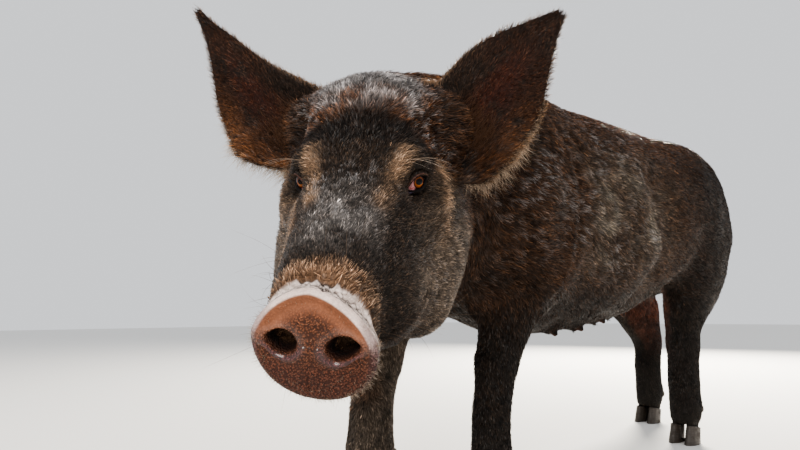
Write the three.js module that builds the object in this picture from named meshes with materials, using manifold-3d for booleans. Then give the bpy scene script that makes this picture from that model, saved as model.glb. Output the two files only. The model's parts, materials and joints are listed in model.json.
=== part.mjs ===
// A standing pig at life size: head turned to its left and lowered, one front leg a step ahead.
// Millimetres, +Z up. The pig faces -Y and its left side is +X.
//
// The whole body is one implicit field, a distance that is negative inside the flesh. Each named part
// is that field polygonised inside a box of its own, so neighbours meet on the thin cuts between boxes.

import * as THREE from 'three';
import Module from 'manifold-3d';
import { mergeVertices } from 'three/addons/utils/BufferGeometryUtils.js';

const wasm = await Module();
wasm.setup();

// ---------------------------------------------------------------- driving dimensions

const GAP = 0.3;                // clearance between neighbouring parts
const LEFT = 1;                 // +X
const RIGHT = -1;

// trunk stations from the breast to the rump: y, height of back and belly, half width
const TRUNK = [
  { y: -470, top: 622, bottom: 318, half: 112 },
  { y: -390, top: 652, bottom: 270, half: 136 },
  { y: -280, top: 668, bottom: 240, half: 155 },
  { y: -100, top: 682, bottom: 250, half: 172 },
  { y: 90, top: 690, bottom: 288, half: 176 },
  { y: 240, top: 688, bottom: 396, half: 168 },
  { y: 350, top: 664, bottom: 410, half: 148 },
  { y: 432, top: 620, bottom: 396, half: 118 },
];
const TRUNK_CAPS = { front: 62, rear: 60 };
const BREAST = -468;            // where the neck meets the trunk

// the head has its own frame: origin midway between the eyes, +X its left, -Y down the face, +Z the brow
const HEAD = { at: [144, -698, 412], yaw: 40.9, pitch: 37.4, roll: 3 };

// head stations from the nape to the snout: distance down the face, crown, throat, widest level, half width
const SKULL = [
  { f: -150, top: 66, bottom: -150, level: -36, half: 96 },
  { f: -100, top: 60, bottom: -156, level: -44, half: 100 },
  { f: -50, top: 48, bottom: -150, level: -48, half: 96 },
  { f: 0, top: 31, bottom: -138, level: -50, half: 84 },
  { f: 50, top: 20, bottom: -124, level: -56, half: 69 },
  { f: 100, top: 8, bottom: -110, level: -56, half: 56 },
  { f: 150, top: -3, bottom: -95, level: -50, half: 46 },
  { f: 188, top: -11, bottom: -82, level: -46, half: 41 },
];
const JAW_ANGLE = 24;           // tilt of the cut from the poll to the throat
const NAPE = 122;               // how far behind the eyes that cut crosses the head's axis

// the disc at the end of the nose: its middle, half sizes, rounding and how it is turned
const SNOUT = {
  reach: 201, level: -49, halfWidth: 49, halfHeight: 42, rim: 9, thickness: 17, roll: -5, pitch: 19,
};
const SNOUT_ROOT = 152;         // where the snout's part begins
const NOSTRIL = { aside: 24, up: 1, radii: [12, 18, 9] };
const EYE = { aside: 57, back: 9, radius: 13 };
const MOUTH = { corner: 52, level: -83, slope: 5 };

const FORELEG = { elbow: 350, carpus: 212, fetlock: 78, apart: 79 };
const HINDLEG = { stifle: 395, hock: 205, fetlock: 78, apart: 76 };
const FORE_FEET = { [LEFT]: -430, [RIGHT]: -522 };      // y of each front foot
const FORE_STOUT = { [LEFT]: 1, [RIGHT]: 1.22 };        // girth of each front shin
const HIND_FEET = { [LEFT]: 230, [RIGHT]: 392 };        // y of each hind foot
const GASKIN = { [LEFT]: 58, [RIGHT]: 84 };             // depth of each hind leg under the stifle
const HOOF = { length: 58, width: 27, height: 40, lean: 0.42, slope: -12, cleft: 2.5 };
const DEWCLAW = { length: 26, radius: 8.5, height: 62, apart: 18 };

// the ear's own frame lies in the head's: root, tip and the direction of its lower edge,
// each as side, forward, up
const EAR = { root: [86, -126, 14], tip: [234, -211, 146], across: [31, 66, -98], cup: 26 };
// each ear is turned its own way: how far it stretches and how wide its upper edge shows
const EAR_TURN = { [LEFT]: { stretch: 0.97, upper: 1.05 }, [RIGHT]: { stretch: 1.13, upper: 0.42 } };
// ear stations from root to tip: distance out, reach of the lower and of the upper edge, thickness
const EAR_STATIONS = [
  { out: -26, lower: 62, upper: -34, thick: 9 },
  { out: 6, lower: 88, upper: -45, thick: 8 },
  { out: 50, lower: 83, upper: -49, thick: 7 },
  { out: 100, lower: 64, upper: -43, thick: 6 },
  { out: 145, lower: 37, upper: -28, thick: 5 },
  { out: 182, lower: 19, upper: -14, thick: 4 },
  { out: 214, lower: 8, upper: -6, thick: 3 },
];
const TAIL = { root: [0, 470, 592], radius: 15, tip: 7 };
// two rows of teats: how far from the middle, first and last y
const TEATS = { rows: 5, aside: 56, from: -220, to: 110, radius: 6.5 };

// ---------------------------------------------------------------- materials

const material = (color, roughness) => new THREE.MeshStandardMaterial({ color, roughness, metalness: 0 });
const HIDE = material(0x4a2c20, 0.75);
const DARK_HIDE = material(0x33231c, 0.8);
const SNOUT_SKIN = material(0x6e4034, 0.5);
const EYE_GLOSS = material(0x2a1408, 0.08);
const HORN = material(0x2c2622, 0.6);

// ---------------------------------------------------------------- field primitives

const { clamp, degToRad, lerp } = THREE.MathUtils;

function smoothUnion(a, b, blend) {
  const near = Math.max(blend - Math.abs(a - b), 0) / blend;
  return Math.min(a, b) - near * near * blend / 4;
}

const smoothCut = (a, b, blend) => -smoothUnion(-a, b, blend);

function ellipsoid(p, at, radii) {
  const [x, y, z] = [0, 1, 2].map((i) => (p[i] - at[i]) / radii[i]);
  const k0 = Math.hypot(x, y, z);
  const k1 = Math.hypot(x / radii[0], y / radii[1], z / radii[2]);
  return k1 > 0 ? k0 * (k0 - 1) / k1 : -Math.min(...radii);
}

// a chain of joints {at, side, deep}: side is the half width across the body, deep the half depth
function limb(p, joints) {
  let best = Infinity;
  for (let i = 0; i + 1 < joints.length; i += 1) {
    const [a, b] = [joints[i], joints[i + 1]];
    const d = a.at.map((v, k) => b.at[k] - v);
    const q = a.at.map((v, k) => p[k] - v);
    const square = d[0] ** 2 + d[1] ** 2 + d[2] ** 2;
    const along = clamp((q[0] * d[0] + q[1] * d[1] + q[2] * d[2]) / square, 0, 1);
    const side = lerp(a.side, b.side, along);
    const deep = lerp(a.deep, b.deep, along);
    const out = q.map((v, k) => v - d[k] * along);
    const reach = Math.hypot(out[0] / side, out[1] / deep, out[2] / deep);
    best = smoothUnion(best, (reach - 1) * Math.min(side, deep), 12);
  }
  return best;
}

// smooth value of one named column of a station list
function station(list, key, at, column) {
  let i = 0;
  while (i + 2 < list.length && at > list[i + 1][key]) i += 1;
  const [b, c] = [list[i], list[i + 1]];
  const a = list[Math.max(i - 1, 0)];
  const d = list[Math.min(i + 2, list.length - 1)];
  const span = c[key] - b[key];
  const t = clamp((at - b[key]) / span, 0, 1);
  const slopeB = (c[column] - a[column]) / (c[key] - a[key]) * span;
  const slopeC = (d[column] - b[column]) / (d[key] - b[key]) * span;
  const [t2, t3] = [t * t, t * t * t];
  return (2 * t3 - 3 * t2 + 1) * b[column] + (t3 - 2 * t2 + t) * slopeB
    + (3 * t2 - 2 * t3) * c[column] + (t3 - t2) * slopeC;
}

// superellipse section of half sizes a and b, with a rounded cap beyond the ends
function section(x, z, a, b, cap, power) {
  const sum = Math.abs(x / a) ** power + Math.abs(z / b) ** power + Math.abs(cap) ** power;
  const reach = sum ** (1 / power);
  return (reach - 1) * Math.min(a, b);
}

// ---------------------------------------------------------------- body field

function trunkField(p) {
  const [front, rear] = [TRUNK[0].y, TRUNK.at(-1).y];
  const y = clamp(p[1], front, rear);
  const top = station(TRUNK, 'y', y, 'top');
  const bottom = station(TRUNK, 'y', y, 'bottom');
  const half = station(TRUNK, 'y', y, 'half');
  const cap = p[1] < front ? (front - p[1]) / TRUNK_CAPS.front : Math.max(p[1] - rear, 0) / TRUNK_CAPS.rear;
  return section(p[0], p[2] - (top + bottom) / 2, half, (top - bottom) / 2, cap, 2.25);
}

function forelegJoints(side) {
  const foot = FORE_FEET[side];
  const x = side * FORELEG.apart;
  const elbow = -335 + (foot - FORE_FEET[LEFT]) * 0.55;
  const stout = FORE_STOUT[side];
  return {
    shoulder: [
      { at: [side * 84, -320 + (elbow + 335) * 0.3, 548], side: 52, deep: 88 },
      { at: [side * 104, elbow - 46, 440], side: 60, deep: 88 },
      { at: [side * 98, elbow - 14, FORELEG.elbow + 10], side: 54, deep: 66 },
    ],
    leg: [
      { at: [side * 97, elbow - 12, FORELEG.elbow], side: 50, deep: 62 },
      { at: [x + side * 4, foot + 46, FORELEG.carpus + 44], side: 33, deep: 40 },
      { at: [x, foot + 25, FORELEG.carpus - 6], side: 31, deep: 33 * stout },
      { at: [x, foot + 11, FORELEG.carpus - 68], side: 26 * stout, deep: 26 * stout },
      { at: [x, foot + 8, FORELEG.fetlock], side: 28 * stout, deep: 31 * stout },
      { at: [x, foot + 4, 40], side: 29, deep: 31 },
    ],
  };
}

function hindlegJoints(side) {
  const foot = HIND_FEET[side];
  const x = side * HINDLEG.apart;
  const swing = foot - HIND_FEET[RIGHT];
  return {
    thigh: [
      { at: [side * 88, 345 + swing * 0.12, 545], side: 68, deep: 122 },
      { at: [side * 102, 342 + swing * 0.2, 450], side: 68, deep: 122 },
      { at: [side * 98, 350 + swing * 0.32, HINDLEG.stifle - 10], side: 54, deep: 110 },
    ],
    leg: [
      { at: [side * 98, 350 + swing * 0.32, HINDLEG.stifle - 10], side: 52, deep: 100 },
      { at: [x + side * 8, foot + 94 - GASKIN[side], HINDLEG.hock + 80], side: 36, deep: GASKIN[side] },
      { at: [x, foot + 30, HINDLEG.hock], side: 32, deep: 43 },
      { at: [x, foot + 17, HINDLEG.hock - 62], side: 28, deep: 35 },
      { at: [x, foot + 14, HINDLEG.fetlock], side: 29, deep: 36 },
      { at: [x, foot + 4, 40], side: 29, deep: 31 },
    ],
  };
}

const FORELEGS = { [LEFT]: forelegJoints(LEFT), [RIGHT]: forelegJoints(RIGHT) };
const HINDLEGS = { [LEFT]: hindlegJoints(LEFT), [RIGHT]: hindlegJoints(RIGHT) };

function headFrame() {
  const turn = new THREE.Euler(degToRad(HEAD.pitch), degToRad(HEAD.roll), degToRad(HEAD.yaw), 'ZXY');
  return new THREE.Matrix4().makeRotationFromEuler(turn).setPosition(...HEAD.at);
}

const HEAD_FRAME = headFrame();
const TO_HEAD = HEAD_FRAME.clone().invert().elements;

function toHead(p) {
  const m = TO_HEAD;
  return [0, 1, 2].map((i) => m[i] * p[0] + m[i + 4] * p[1] + m[i + 8] * p[2] + m[i + 12]);
}

function fromHead(x, y, z) {
  return new THREE.Vector3(x, y, z).applyMatrix4(HEAD_FRAME).toArray();
}

// a point of the head in the snout's own frame, whose disc faces down the face and a little upward
function toSnout(x, f, u) {
  const [roll, pitch] = [degToRad(SNOUT.roll), degToRad(SNOUT.pitch)];
  const [rise, ahead] = [u - SNOUT.level, f - SNOUT.reach];
  const forward = ahead * Math.cos(pitch) + rise * Math.sin(pitch);
  const up = rise * Math.cos(pitch) - ahead * Math.sin(pitch);
  return [x * Math.cos(roll) + up * Math.sin(roll), forward, up * Math.cos(roll) - x * Math.sin(roll)];
}

function snoutField([across, forward, up]) {
  const wide = SNOUT.halfWidth - SNOUT.rim;
  const tall = SNOUT.halfHeight - SNOUT.rim;
  const ring = (Math.hypot(across / wide, up / tall) - 1) * Math.min(wide, tall);
  const face = Math.abs(forward + SNOUT.thickness / 2) - SNOUT.thickness / 2 + SNOUT.rim;
  return Math.hypot(Math.max(ring, 0), Math.max(face, 0)) + Math.min(Math.max(ring, face), 0) - SNOUT.rim;
}

function headField(p) {
  const [x, y, u] = toHead(p);
  const f = -y;
  const at = clamp(f, SKULL[0].f, SKULL.at(-1).f);
  const [top, bottom, level, half] = ['top', 'bottom', 'level', 'half']
    .map((c) => station(SKULL, 'f', at, c));
  const cap = f < SKULL[0].f ? (SKULL[0].f - f) / 60 : Math.max(f - SKULL.at(-1).f, 0) / 12;
  let d = section(x, u - level, half, u > level ? top - level : level - bottom, cap, 2.2);
  const mirrored = [Math.abs(x), f, u];
  const disc = toSnout(x, f, u);
  d = smoothUnion(d, ellipsoid(mirrored, [76, -52, -98], [42, 62, 50]), 24);         // cheek
  d = smoothUnion(d, ellipsoid(mirrored, [58, 8, -122], [48, 76, 48]), 34);          // jowl
  d = smoothUnion(d, ellipsoid(mirrored, [40, 82, -84], [34, 66, 38]), 26);          // side of the lips
  d = smoothUnion(d, ellipsoid(mirrored, [70, -34, -38], [29, 46, 26]), 20);         // cheekbone
  d = smoothUnion(d, ellipsoid(mirrored, [50, -18, 16], [25, 26, 17]), 14);          // brow
  d = smoothUnion(d, ellipsoid(mirrored, [0, -92, 54], [46, 38, 20]), 26);           // poll
  d = smoothUnion(d, ellipsoid(mirrored, [0, 132, -92], [33, 46, 17]), 12);          // chin
  d = smoothUnion(d, ellipsoid(mirrored, [84, -128, 14], [34, 30, 46]), 18);         // root of the ear
  d = smoothUnion(d, snoutField(disc), 7);
  d = smoothCut(d, ellipsoid(mirrored, [80, 15, -1], [26, 28, 17]), 6);              // front of the eye
  const nostril = [Math.abs(disc[0]), disc[1], disc[2]];
  return smoothCut(d, ellipsoid(nostril, [NOSTRIL.aside, 0, NOSTRIL.up], NOSTRIL.radii), 3);
}

function neckField(p) {
  const [nape, throat] = [fromHead(0, 120, -10), fromHead(0, 95, -70)];
  const crest = limb(p, [
    { at: nape, side: 90, deep: 96 },
    { at: [34, -525, 512], side: 112, deep: 112 },
    { at: [0, -400, 512], side: 132, deep: 128 },
  ]);
  const gullet = limb(p, [
    { at: throat, side: 84, deep: 84 },
    { at: [20, -470, 402], side: 104, deep: 100 },
  ]);
  return smoothUnion(crest, gullet, 40);
}

function bodyField(p) {
  let d = smoothUnion(trunkField(p), ellipsoid(p, [0, 372, 440], [72, 84, 112]), 60);
  for (const side of [LEFT, RIGHT]) {
    d = smoothUnion(d, limb(p, FORELEGS[side].shoulder), 46);
    d = smoothUnion(d, limb(p, HINDLEGS[side].thigh), 70);
    d = smoothUnion(d, limb(p, FORELEGS[side].leg), 26);
    d = smoothUnion(d, limb(p, HINDLEGS[side].leg), 26);
  }
  d = smoothUnion(d, neckField(p), 60);
  return smoothUnion(d, headField(p), 44);
}

// ---------------------------------------------------------------- polygoniser

function gradient(field, p) {
  const h = 0.5;
  return [0, 1, 2].map((i) => {
    const [ahead, behind] = [[...p], [...p]];
    ahead[i] += h;
    behind[i] -= h;
    return (field(ahead) - field(behind)) / (2 * h);
  });
}

// moves a point to the surface of the field
function settle(field, p) {
  for (let pass = 0; pass < 4; pass += 1) {
    const g = gradient(field, p);
    const slope = g[0] ** 2 + g[1] ** 2 + g[2] ** 2;
    const push = field(p) / Math.max(slope, 0.05);
    p = p.map((v, i) => v - clamp(push * g[i], -6, 6));
  }
  return p;
}

// a cell size is a number or a function of the place
const spacing = (size, at) => (typeof size === 'function' ? size(at) : size);

// grid lines from low to high
function ticks(low, high, size) {
  const lines = [low];
  while (lines.at(-1) < high) lines.push(lines.at(-1) + spacing(size, lines.at(-1)));
  const stretch = (high - low) / (lines.at(-1) - low);
  return lines.map((v) => low + (v - low) * stretch);
}

// Naive surface nets: one vertex in every cell that the surface crosses, one quad on every crossed edge.
// The grid lies in the region's own frame, so a symmetric part gets a symmetric mesh.
function polygonise(field, where, cell) {
  const margin = 2.2 * Math.max(...cell.map((size, i) => spacing(size, where.size[i])));
  const lines = where.size.map((s, i) => ticks(-s / 2 - margin, s / 2 + margin, cell[i]));
  const count = lines.map((list) => list.length);
  const world = (q) => new THREE.Vector3(...q).applyMatrix4(where.frame).toArray();
  const outside = (q) => Math.max(...q.map((v, i) => Math.abs(v) - where.size[i] / 2 - margin / 2));
  const grid = (...n) => n.map((v, i) => lines[i][v]);
  const index = (i, j, k) => (k * count[1] + j) * count[0] + i;
  const value = new Float64Array(count[0] * count[1] * count[2]);
  for (let k = 0; k < count[2]; k += 1) {
    for (let j = 0; j < count[1]; j += 1) {
      for (let i = 0; i < count[0]; i += 1) {
        const q = grid(i, j, k);
        value[index(i, j, k)] = Math.max(field(world(q)), outside(q));
      }
    }
  }
  const corners = [[0, 0, 0], [1, 0, 0], [0, 1, 0], [1, 1, 0], [0, 0, 1], [1, 0, 1], [0, 1, 1], [1, 1, 1]];
  const edges = [
    [0, 1], [2, 3], [4, 5], [6, 7], [0, 2], [1, 3],
    [4, 6], [5, 7], [0, 4], [1, 5], [2, 6], [3, 7],
  ];
  const vertexOf = new Map();
  const positions = [];
  for (let k = 0; k + 1 < count[2]; k += 1) {
    for (let j = 0; j + 1 < count[1]; j += 1) {
      for (let i = 0; i + 1 < count[0]; i += 1) {
        const v = corners.map(([a, b, c]) => value[index(i + a, j + b, k + c)]);
        if (v.every((n) => n < 0) || v.every((n) => n >= 0)) continue;
        const sum = [0, 0, 0];
        let crossings = 0;
        for (const [a, b] of edges) {
          if ((v[a] < 0) === (v[b] < 0)) continue;
          const t = v[a] / (v[a] - v[b]);
          crossings += 1;
          for (let n = 0; n < 3; n += 1) sum[n] += lerp(corners[a][n], corners[b][n], t);
        }
        const far = grid(i + 1, j + 1, k + 1);
        const q = grid(i, j, k).map((g, n) => lerp(g, far[n], sum[n] / crossings));
        vertexOf.set(index(i, j, k), positions.length / 3);
        positions.push(...(outside(q) < -margin / 4 ? settle(field, world(q)) : world(q)));
      }
    }
  }
  const triangles = [];
  const unit = [1, count[0], count[0] * count[1]];
  for (let k = 1; k + 1 < count[2]; k += 1) {
    for (let j = 1; j + 1 < count[1]; j += 1) {
      for (let i = 1; i + 1 < count[0]; i += 1) {
        const here = index(i, j, k);
        for (let axis = 0; axis < 3; axis += 1) {
          const inside = value[here] < 0;
          if (inside === (value[here + unit[axis]] < 0)) continue;
          const [b, c] = [unit[(axis + 1) % 3], unit[(axis + 2) % 3]];
          const quad = [here - b - c, here - c, here, here - b].map((n) => vertexOf.get(n));
          if (!inside) quad.reverse();
          triangles.push(...splitQuad(positions, quad));
        }
      }
    }
  }
  return solid(positions, triangles);
}

// two triangles along the shorter diagonal
function splitQuad(positions, [a, b, c, d]) {
  const apart = (m, n) => Math.hypot(...[0, 1, 2].map((i) => positions[3 * m + i] - positions[3 * n + i]));
  return apart(a, c) < apart(b, d) ? [a, b, c, a, c, d] : [a, b, d, b, c, d];
}

// ---------------------------------------------------------------- solids

function solid(positions, triangles) {
  const mesh = new wasm.Mesh({
    numProp: 3,
    vertProperties: new Float32Array(positions),
    triVerts: new Uint32Array(triangles),
  });
  return new wasm.Manifold(mesh);
}

function solidOf(geometry) {
  const bare = geometry.clone();
  bare.deleteAttribute('normal');
  bare.deleteAttribute('uv');
  const welded = mergeVertices(bare, 2e-3);
  const index = Array.from(welded.index.array);
  const kept = [];
  for (let i = 0; i < index.length; i += 3) {
    const [a, b, c] = index.slice(i, i + 3);
    if (a !== b && b !== c && c !== a) kept.push(a, b, c);
  }
  return solid(welded.attributes.position.array, kept);
}

function geometryOf(shape) {
  const mesh = shape.getMesh();
  const geometry = new THREE.BufferGeometry();
  geometry.setAttribute('position', new THREE.BufferAttribute(new Float32Array(mesh.vertProperties), 3));
  geometry.setIndex(new THREE.BufferAttribute(new Uint32Array(mesh.triVerts), 1));
  geometry.computeVertexNormals();
  return geometry;
}

// the same solid with every vertex moved out along its normal
function grown(shape, by) {
  const geometry = geometryOf(shape);
  const { position, normal } = geometry.attributes;
  for (let i = 0; i < position.count; i += 1) {
    position.setXYZ(i, position.getX(i) + normal.getX(i) * by, position.getY(i) + normal.getY(i) * by,
      position.getZ(i) + normal.getZ(i) * by);
  }
  geometry.deleteAttribute('normal');
  return solidOf(geometry);
}

// a shape kept clear of another
const clear = (shape, other) => shape.subtract(grown(other, 2 * GAP)).subtract(other);

// A region {frame, size, shape} is the box that holds one part.
// shape(margin) is its solid, grown by a margin.
function region(frame, size, without = []) {
  const shape = (margin) => {
    const box = new THREE.BoxGeometry(...size.map((s) => s + 2 * margin));
    const whole = solidOf(box.applyMatrix4(frame));
    return without.reduce((rest, other) => rest.subtract(other.shape(-margin)), whole);
  };
  return { frame, size, shape };
}

// a region from its low corner to its high corner
function span(low, high, without) {
  const middle = low.map((v, i) => (v + high[i]) / 2);
  return region(new THREE.Matrix4().setPosition(...middle), low.map((v, i) => high[i] - v), without);
}

// a region in the head's frame, turned about its cross axis
function headRegion(at, size, pitch = 0) {
  const local = new THREE.Matrix4().makeRotationX(degToRad(pitch)).setPosition(...at);
  return region(HEAD_FRAME.clone().multiply(local), size);
}

// a half space, as a big box whose lower face passes through a point;
// tilt turns it about the fore-and-aft axis
function above(at, tilt = 0, pitch = 0) {
  const size = 900;
  const turn = new THREE.Euler(degToRad(pitch), degToRad(tilt), 0);
  const lift = new THREE.Matrix4().makeTranslation(0, 0, size / 2);
  const frame = new THREE.Matrix4().makeRotationFromEuler(turn).setPosition(...at).multiply(lift);
  return region(frame, [size, size, size]);
}

// the flesh in a region, less the regions that other parts take
function flesh(where, cell, others = []) {
  const part = polygonise(bodyField, where, cell).intersect(where.shape(-GAP / 2));
  return others.reduce((rest, other) => rest.subtract(other.shape(GAP / 2)), part);
}

const pig = new THREE.Group();

function add(name, shape, look) {
  const [largest] = shape.decompose().sort((a, b) => b.volume() - a.volume());
  const body = solidOf(geometryOf(largest));
  const mesh = new THREE.Mesh(geometryOf(body), look);
  mesh.name = name;
  pig.add(mesh);
  return body;
}

// ---------------------------------------------------------------- legs

const sideName = (side) => (side === LEFT ? 'left' : 'right');

function legRegions(side, foot, joints, levels) {
  const x = side * levels.apart;
  const [inner, outer] = [Math.min(side * 14, side * 200), Math.max(side * 14, side * 200)];
  const top = joints[0];
  const front = Math.min(top.at[1] - top.deep, foot - 60);
  const back = Math.max(top.at[1] + top.deep + 6, foot + 110);
  const body = above([side * levels.inseam.x, foot, levels.inseam.z], -side * levels.inseam.tilt);
  const sole = above([x, foot, HOOF.height - 6], 0, HOOF.slope);
  return {
    upper: span([inner, front, levels.middle], [outer, back, levels.inseam.z + 190], [body]),
    lower: span([inner, foot - 70, levels.fetlock + 14], [outer, foot + 110, levels.middle]),
    foot: span([inner, foot - 80, 0], [outer, foot + 110, levels.fetlock + 14]),
    sole,
  };
}

function claw(foot, x, inner) {
  const { length, width, height, lean, cleft } = HOOF;
  const geometry = new THREE.CylinderGeometry(0.8, 1, height * 1.5, 12, 1).rotateX(Math.PI / 2);
  geometry.translate(0, 0, height * 0.75);
  const { position } = geometry.attributes;
  for (let i = 0; i < position.count; i += 1) {
    const [u, v, z] = [position.getX(i), position.getY(i), position.getZ(i)];
    const toe = v < 0 ? 1 - 0.3 * v * v : 1;
    position.setXYZ(i, u * toe * width / 2, v * length / 2 + z * lean, z);
  }
  return solidOf(geometry.translate(x + inner * (width / 2 + cleft), foot - 14, 0));
}

function dewclaw(foot, x, inner) {
  const geometry = new THREE.ConeGeometry(DEWCLAW.radius, DEWCLAW.length, 7).rotateX(-Math.PI / 2 - 0.75);
  return solidOf(geometry.translate(x + inner * DEWCLAW.apart, foot + 40, DEWCLAW.height));
}

function buildLeg(kind, side, foot, joints, levels) {
  const name = `${kind}_${sideName(side)}`;
  const regions = legRegions(side, foot, joints, levels);
  const x = side * levels.apart;
  add(`${name}_upper`, flesh(regions.upper, [32, 32, 36]), HIDE);
  add(`${name}_lower`, flesh(regions.lower, [18.5, 19.5, 43]), DARK_HIDE);
  const { sole } = regions;
  const pastern = flesh(regions.foot, [18, 18, 22]).intersect(sole.shape(-GAP / 2));
  const skin = add(`${name}_foot`, pastern, DARK_HIDE);
  for (const inner of [-1, 1]) {
    const digit = inner * side < 0 ? 'inner' : 'outer';
    add(`${name}_hoof_${digit}`, claw(foot, x, inner).subtract(sole.shape(GAP / 2)), HORN);
    add(`${name}_dewclaw_${digit}`, clear(dewclaw(foot, x, inner), skin), HORN);
  }
  return regions;
}

const foreLevels = { ...FORELEG, middle: FORELEG.carpus + 10, inseam: { x: 50, z: 262, tilt: 42 } };
const hindLevels = { ...HINDLEG, middle: HINDLEG.hock + 18, inseam: { x: 40, z: 300, tilt: 36 } };
const legs = [LEFT, RIGHT].flatMap((side) => [
  buildLeg('foreleg', side, FORE_FEET[side], FORELEGS[side].leg, foreLevels),
  buildLeg('hindleg', side, HIND_FEET[side], HINDLEGS[side].leg, hindLevels),
]);
const legUppers = legs.map((leg) => leg.upper);
const legLowers = legs.map((leg) => leg.lower);

// ---------------------------------------------------------------- head

const jawTilt = degToRad(JAW_ANGLE);
const headAll = headRegion([0, NAPE - 200 * Math.cos(jawTilt), -45 + 200 * Math.sin(jawTilt)],
  [330, 400, 620], -JAW_ANGLE);
const snoutBox = headRegion([0, -(SNOUT_ROOT + 40), SNOUT.level], [150, 80, 150]);
const jawBox = headRegion([0, -(MOUTH.corner + SNOUT_ROOT) / 2, MOUTH.level - 50],
  [150, SNOUT_ROOT - MOUTH.corner, 100], MOUTH.slope);

const ball = (side, radius) => solidOf(new THREE.SphereGeometry(radius, 12, 8)
  .translate(...fromHead(side * EYE.aside, EYE.back, -1)));

// closed surface through rings of points, with a fan over each end
function loft(rings) {
  const size = rings[0].length;
  const positions = rings.flat(2);
  const triangles = [];
  for (let i = 0; i + 1 < rings.length; i += 1) {
    for (let j = 0; j < size; j += 1) {
      const [a, b] = [i * size + j, i * size + (j + 1) % size];
      triangles.push(a, b, b + size, a, b + size, a + size);
    }
  }
  for (const [start, flip] of [[0, true], [(rings.length - 1) * size, false]]) {
    for (let j = 1; j + 1 < size; j += 1) {
      const [b, c] = flip ? [start + j + 1, start + j] : [start + j, start + j + 1];
      triangles.push(start, b, c);
    }
  }
  return solid(positions, triangles);
}

// a cupped leaf: each ring runs across the hollow face and back over the outer face
function ear(side) {
  const flip = new THREE.Vector3(side, -1, 1);           // side, forward, up to the head's own axes
  const [root, tip, across] = [EAR.root, EAR.tip, EAR.across]
    .map((v) => new THREE.Vector3(...v).multiply(flip));
  const { stretch, upper: showing } = EAR_TURN[side];
  const outward = tip.sub(root);
  const length = outward.length();
  outward.normalize();
  across.addScaledVector(outward, -across.dot(outward)).normalize();
  const facing = new THREE.Vector3().crossVectors(across, outward).multiplyScalar(side);
  const steps = 10;
  const acrossSteps = 7;
  const rings = [];
  for (let i = 0; i <= steps; i += 1) {
    const out = lerp(EAR_STATIONS[0].out, EAR_STATIONS.at(-1).out, i / steps);
    const [lower, upper, thick] = ['lower', 'upper', 'thick']
      .map((c) => station(EAR_STATIONS, 'out', out, c));
    const cup = EAR.cup * (1 - 0.8 * clamp(out / length, 0, 1));
    const ring = [];
    for (const face of [1, -1]) {
      for (let j = 0; j <= acrossSteps; j += 1) {
        const v = face * (2 * j / acrossSteps - 1);
        const reach = lerp(upper * showing, lower, (v + 1) / 2);
        const depth = cup * (v * v - 1) + face * thick / 2 * (1 - 0.6 * v ** 4);
        const point = root.clone().addScaledVector(outward, out * stretch).addScaledVector(across, reach);
        ring.push(point.addScaledVector(facing, depth).applyMatrix4(HEAD_FRAME).toArray());
      }
    }
    rings.push(side === LEFT ? ring : ring.reverse());
  }
  return loft(rings);
}

const fineFace = (y) => (y > -90 && y < 110 ? 18.5 : 31);
let head = flesh(headAll, [20.5, fineFace, 19.5], [snoutBox, jawBox]);
for (const side of [LEFT, RIGHT]) {
  add(`eye_${sideName(side)}`, ball(side, EYE.radius), EYE_GLOSS);
  head = head.subtract(ball(side, EYE.radius + GAP));
}
head = add('head', head, HIDE);
const neckBox = span([-260, -900, 100], [300, BREAST, 800]);
const neck = add('neck', flesh(neckBox, [44, 55, 42], [headAll, ...legUppers]), HIDE);
for (const side of [LEFT, RIGHT]) {
  add(`ear_${sideName(side)}`, clear(clear(ear(side), head), neck), HIDE);
}
add('snout', flesh(snoutBox, [11.4, 12.6, 11.4]), SNOUT_SKIN);
add('lower_jaw', flesh(jawBox, [17, 19, 17], [snoutBox]), HIDE);

// ---------------------------------------------------------------- trunk and tail

const TAIL_CURVE = new THREE.CatmullRomCurve3([
  [0, -30, 4], [0, 30, -4], [6, 52, -50], [12, 50, -110], [2, 46, -170], [-8, 54, -222],
].map(([x, y, z]) => new THREE.Vector3(TAIL.root[0] + x, TAIL.root[1] + y, TAIL.root[2] + z)));

// a tapering tube along a curve
function taper(curve, radiusAt, steps, sides) {
  const { normals, binormals } = curve.computeFrenetFrames(steps);
  const rings = Array.from({ length: steps + 1 }, (_, i) => {
    const middle = curve.getPointAt(i / steps);
    return Array.from({ length: sides }, (_side, j) => {
      const angle = 2 * Math.PI * j / sides;
      const radius = radiusAt(i / steps);
      return middle.clone().addScaledVector(normals[i], radius * Math.cos(angle))
        .addScaledVector(binormals[i], radius * Math.sin(angle)).toArray();
    });
  });
  return loft(rings);
}

function teat(x, y) {
  const belly = settle(bodyField, settle(bodyField, [x, y, 235]));
  return solidOf(new THREE.SphereGeometry(TEATS.radius, 6, 4).scale(1, 1, 1.7).translate(...belly));
}

let trunk = flesh(span([-260, BREAST, 100], [260, 600, 800]), [48, 66, 50], [...legUppers, ...legLowers]);
for (let row = 0; row < TEATS.rows; row += 1) {
  const y = lerp(TEATS.from, TEATS.to, row / (TEATS.rows - 1));
  trunk = trunk.add(teat(TEATS.aside, y)).add(teat(-TEATS.aside, y));
}
trunk = add('trunk', trunk, HIDE);
const tailRadius = (t) => lerp(TAIL.radius, TAIL.tip, Math.min(2 * t, 1));
add('tail', clear(taper(TAIL_CURVE, tailRadius, 12, 8), trunk), HIDE);

// the origin is on the ground under the middle of the whole animal
const bounds = new THREE.Box3().setFromObject(pig);
const middle = bounds.getCenter(new THREE.Vector3());
pig.position.set(-middle.x, -middle.y, -bounds.min.z);

export default pig;
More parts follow.
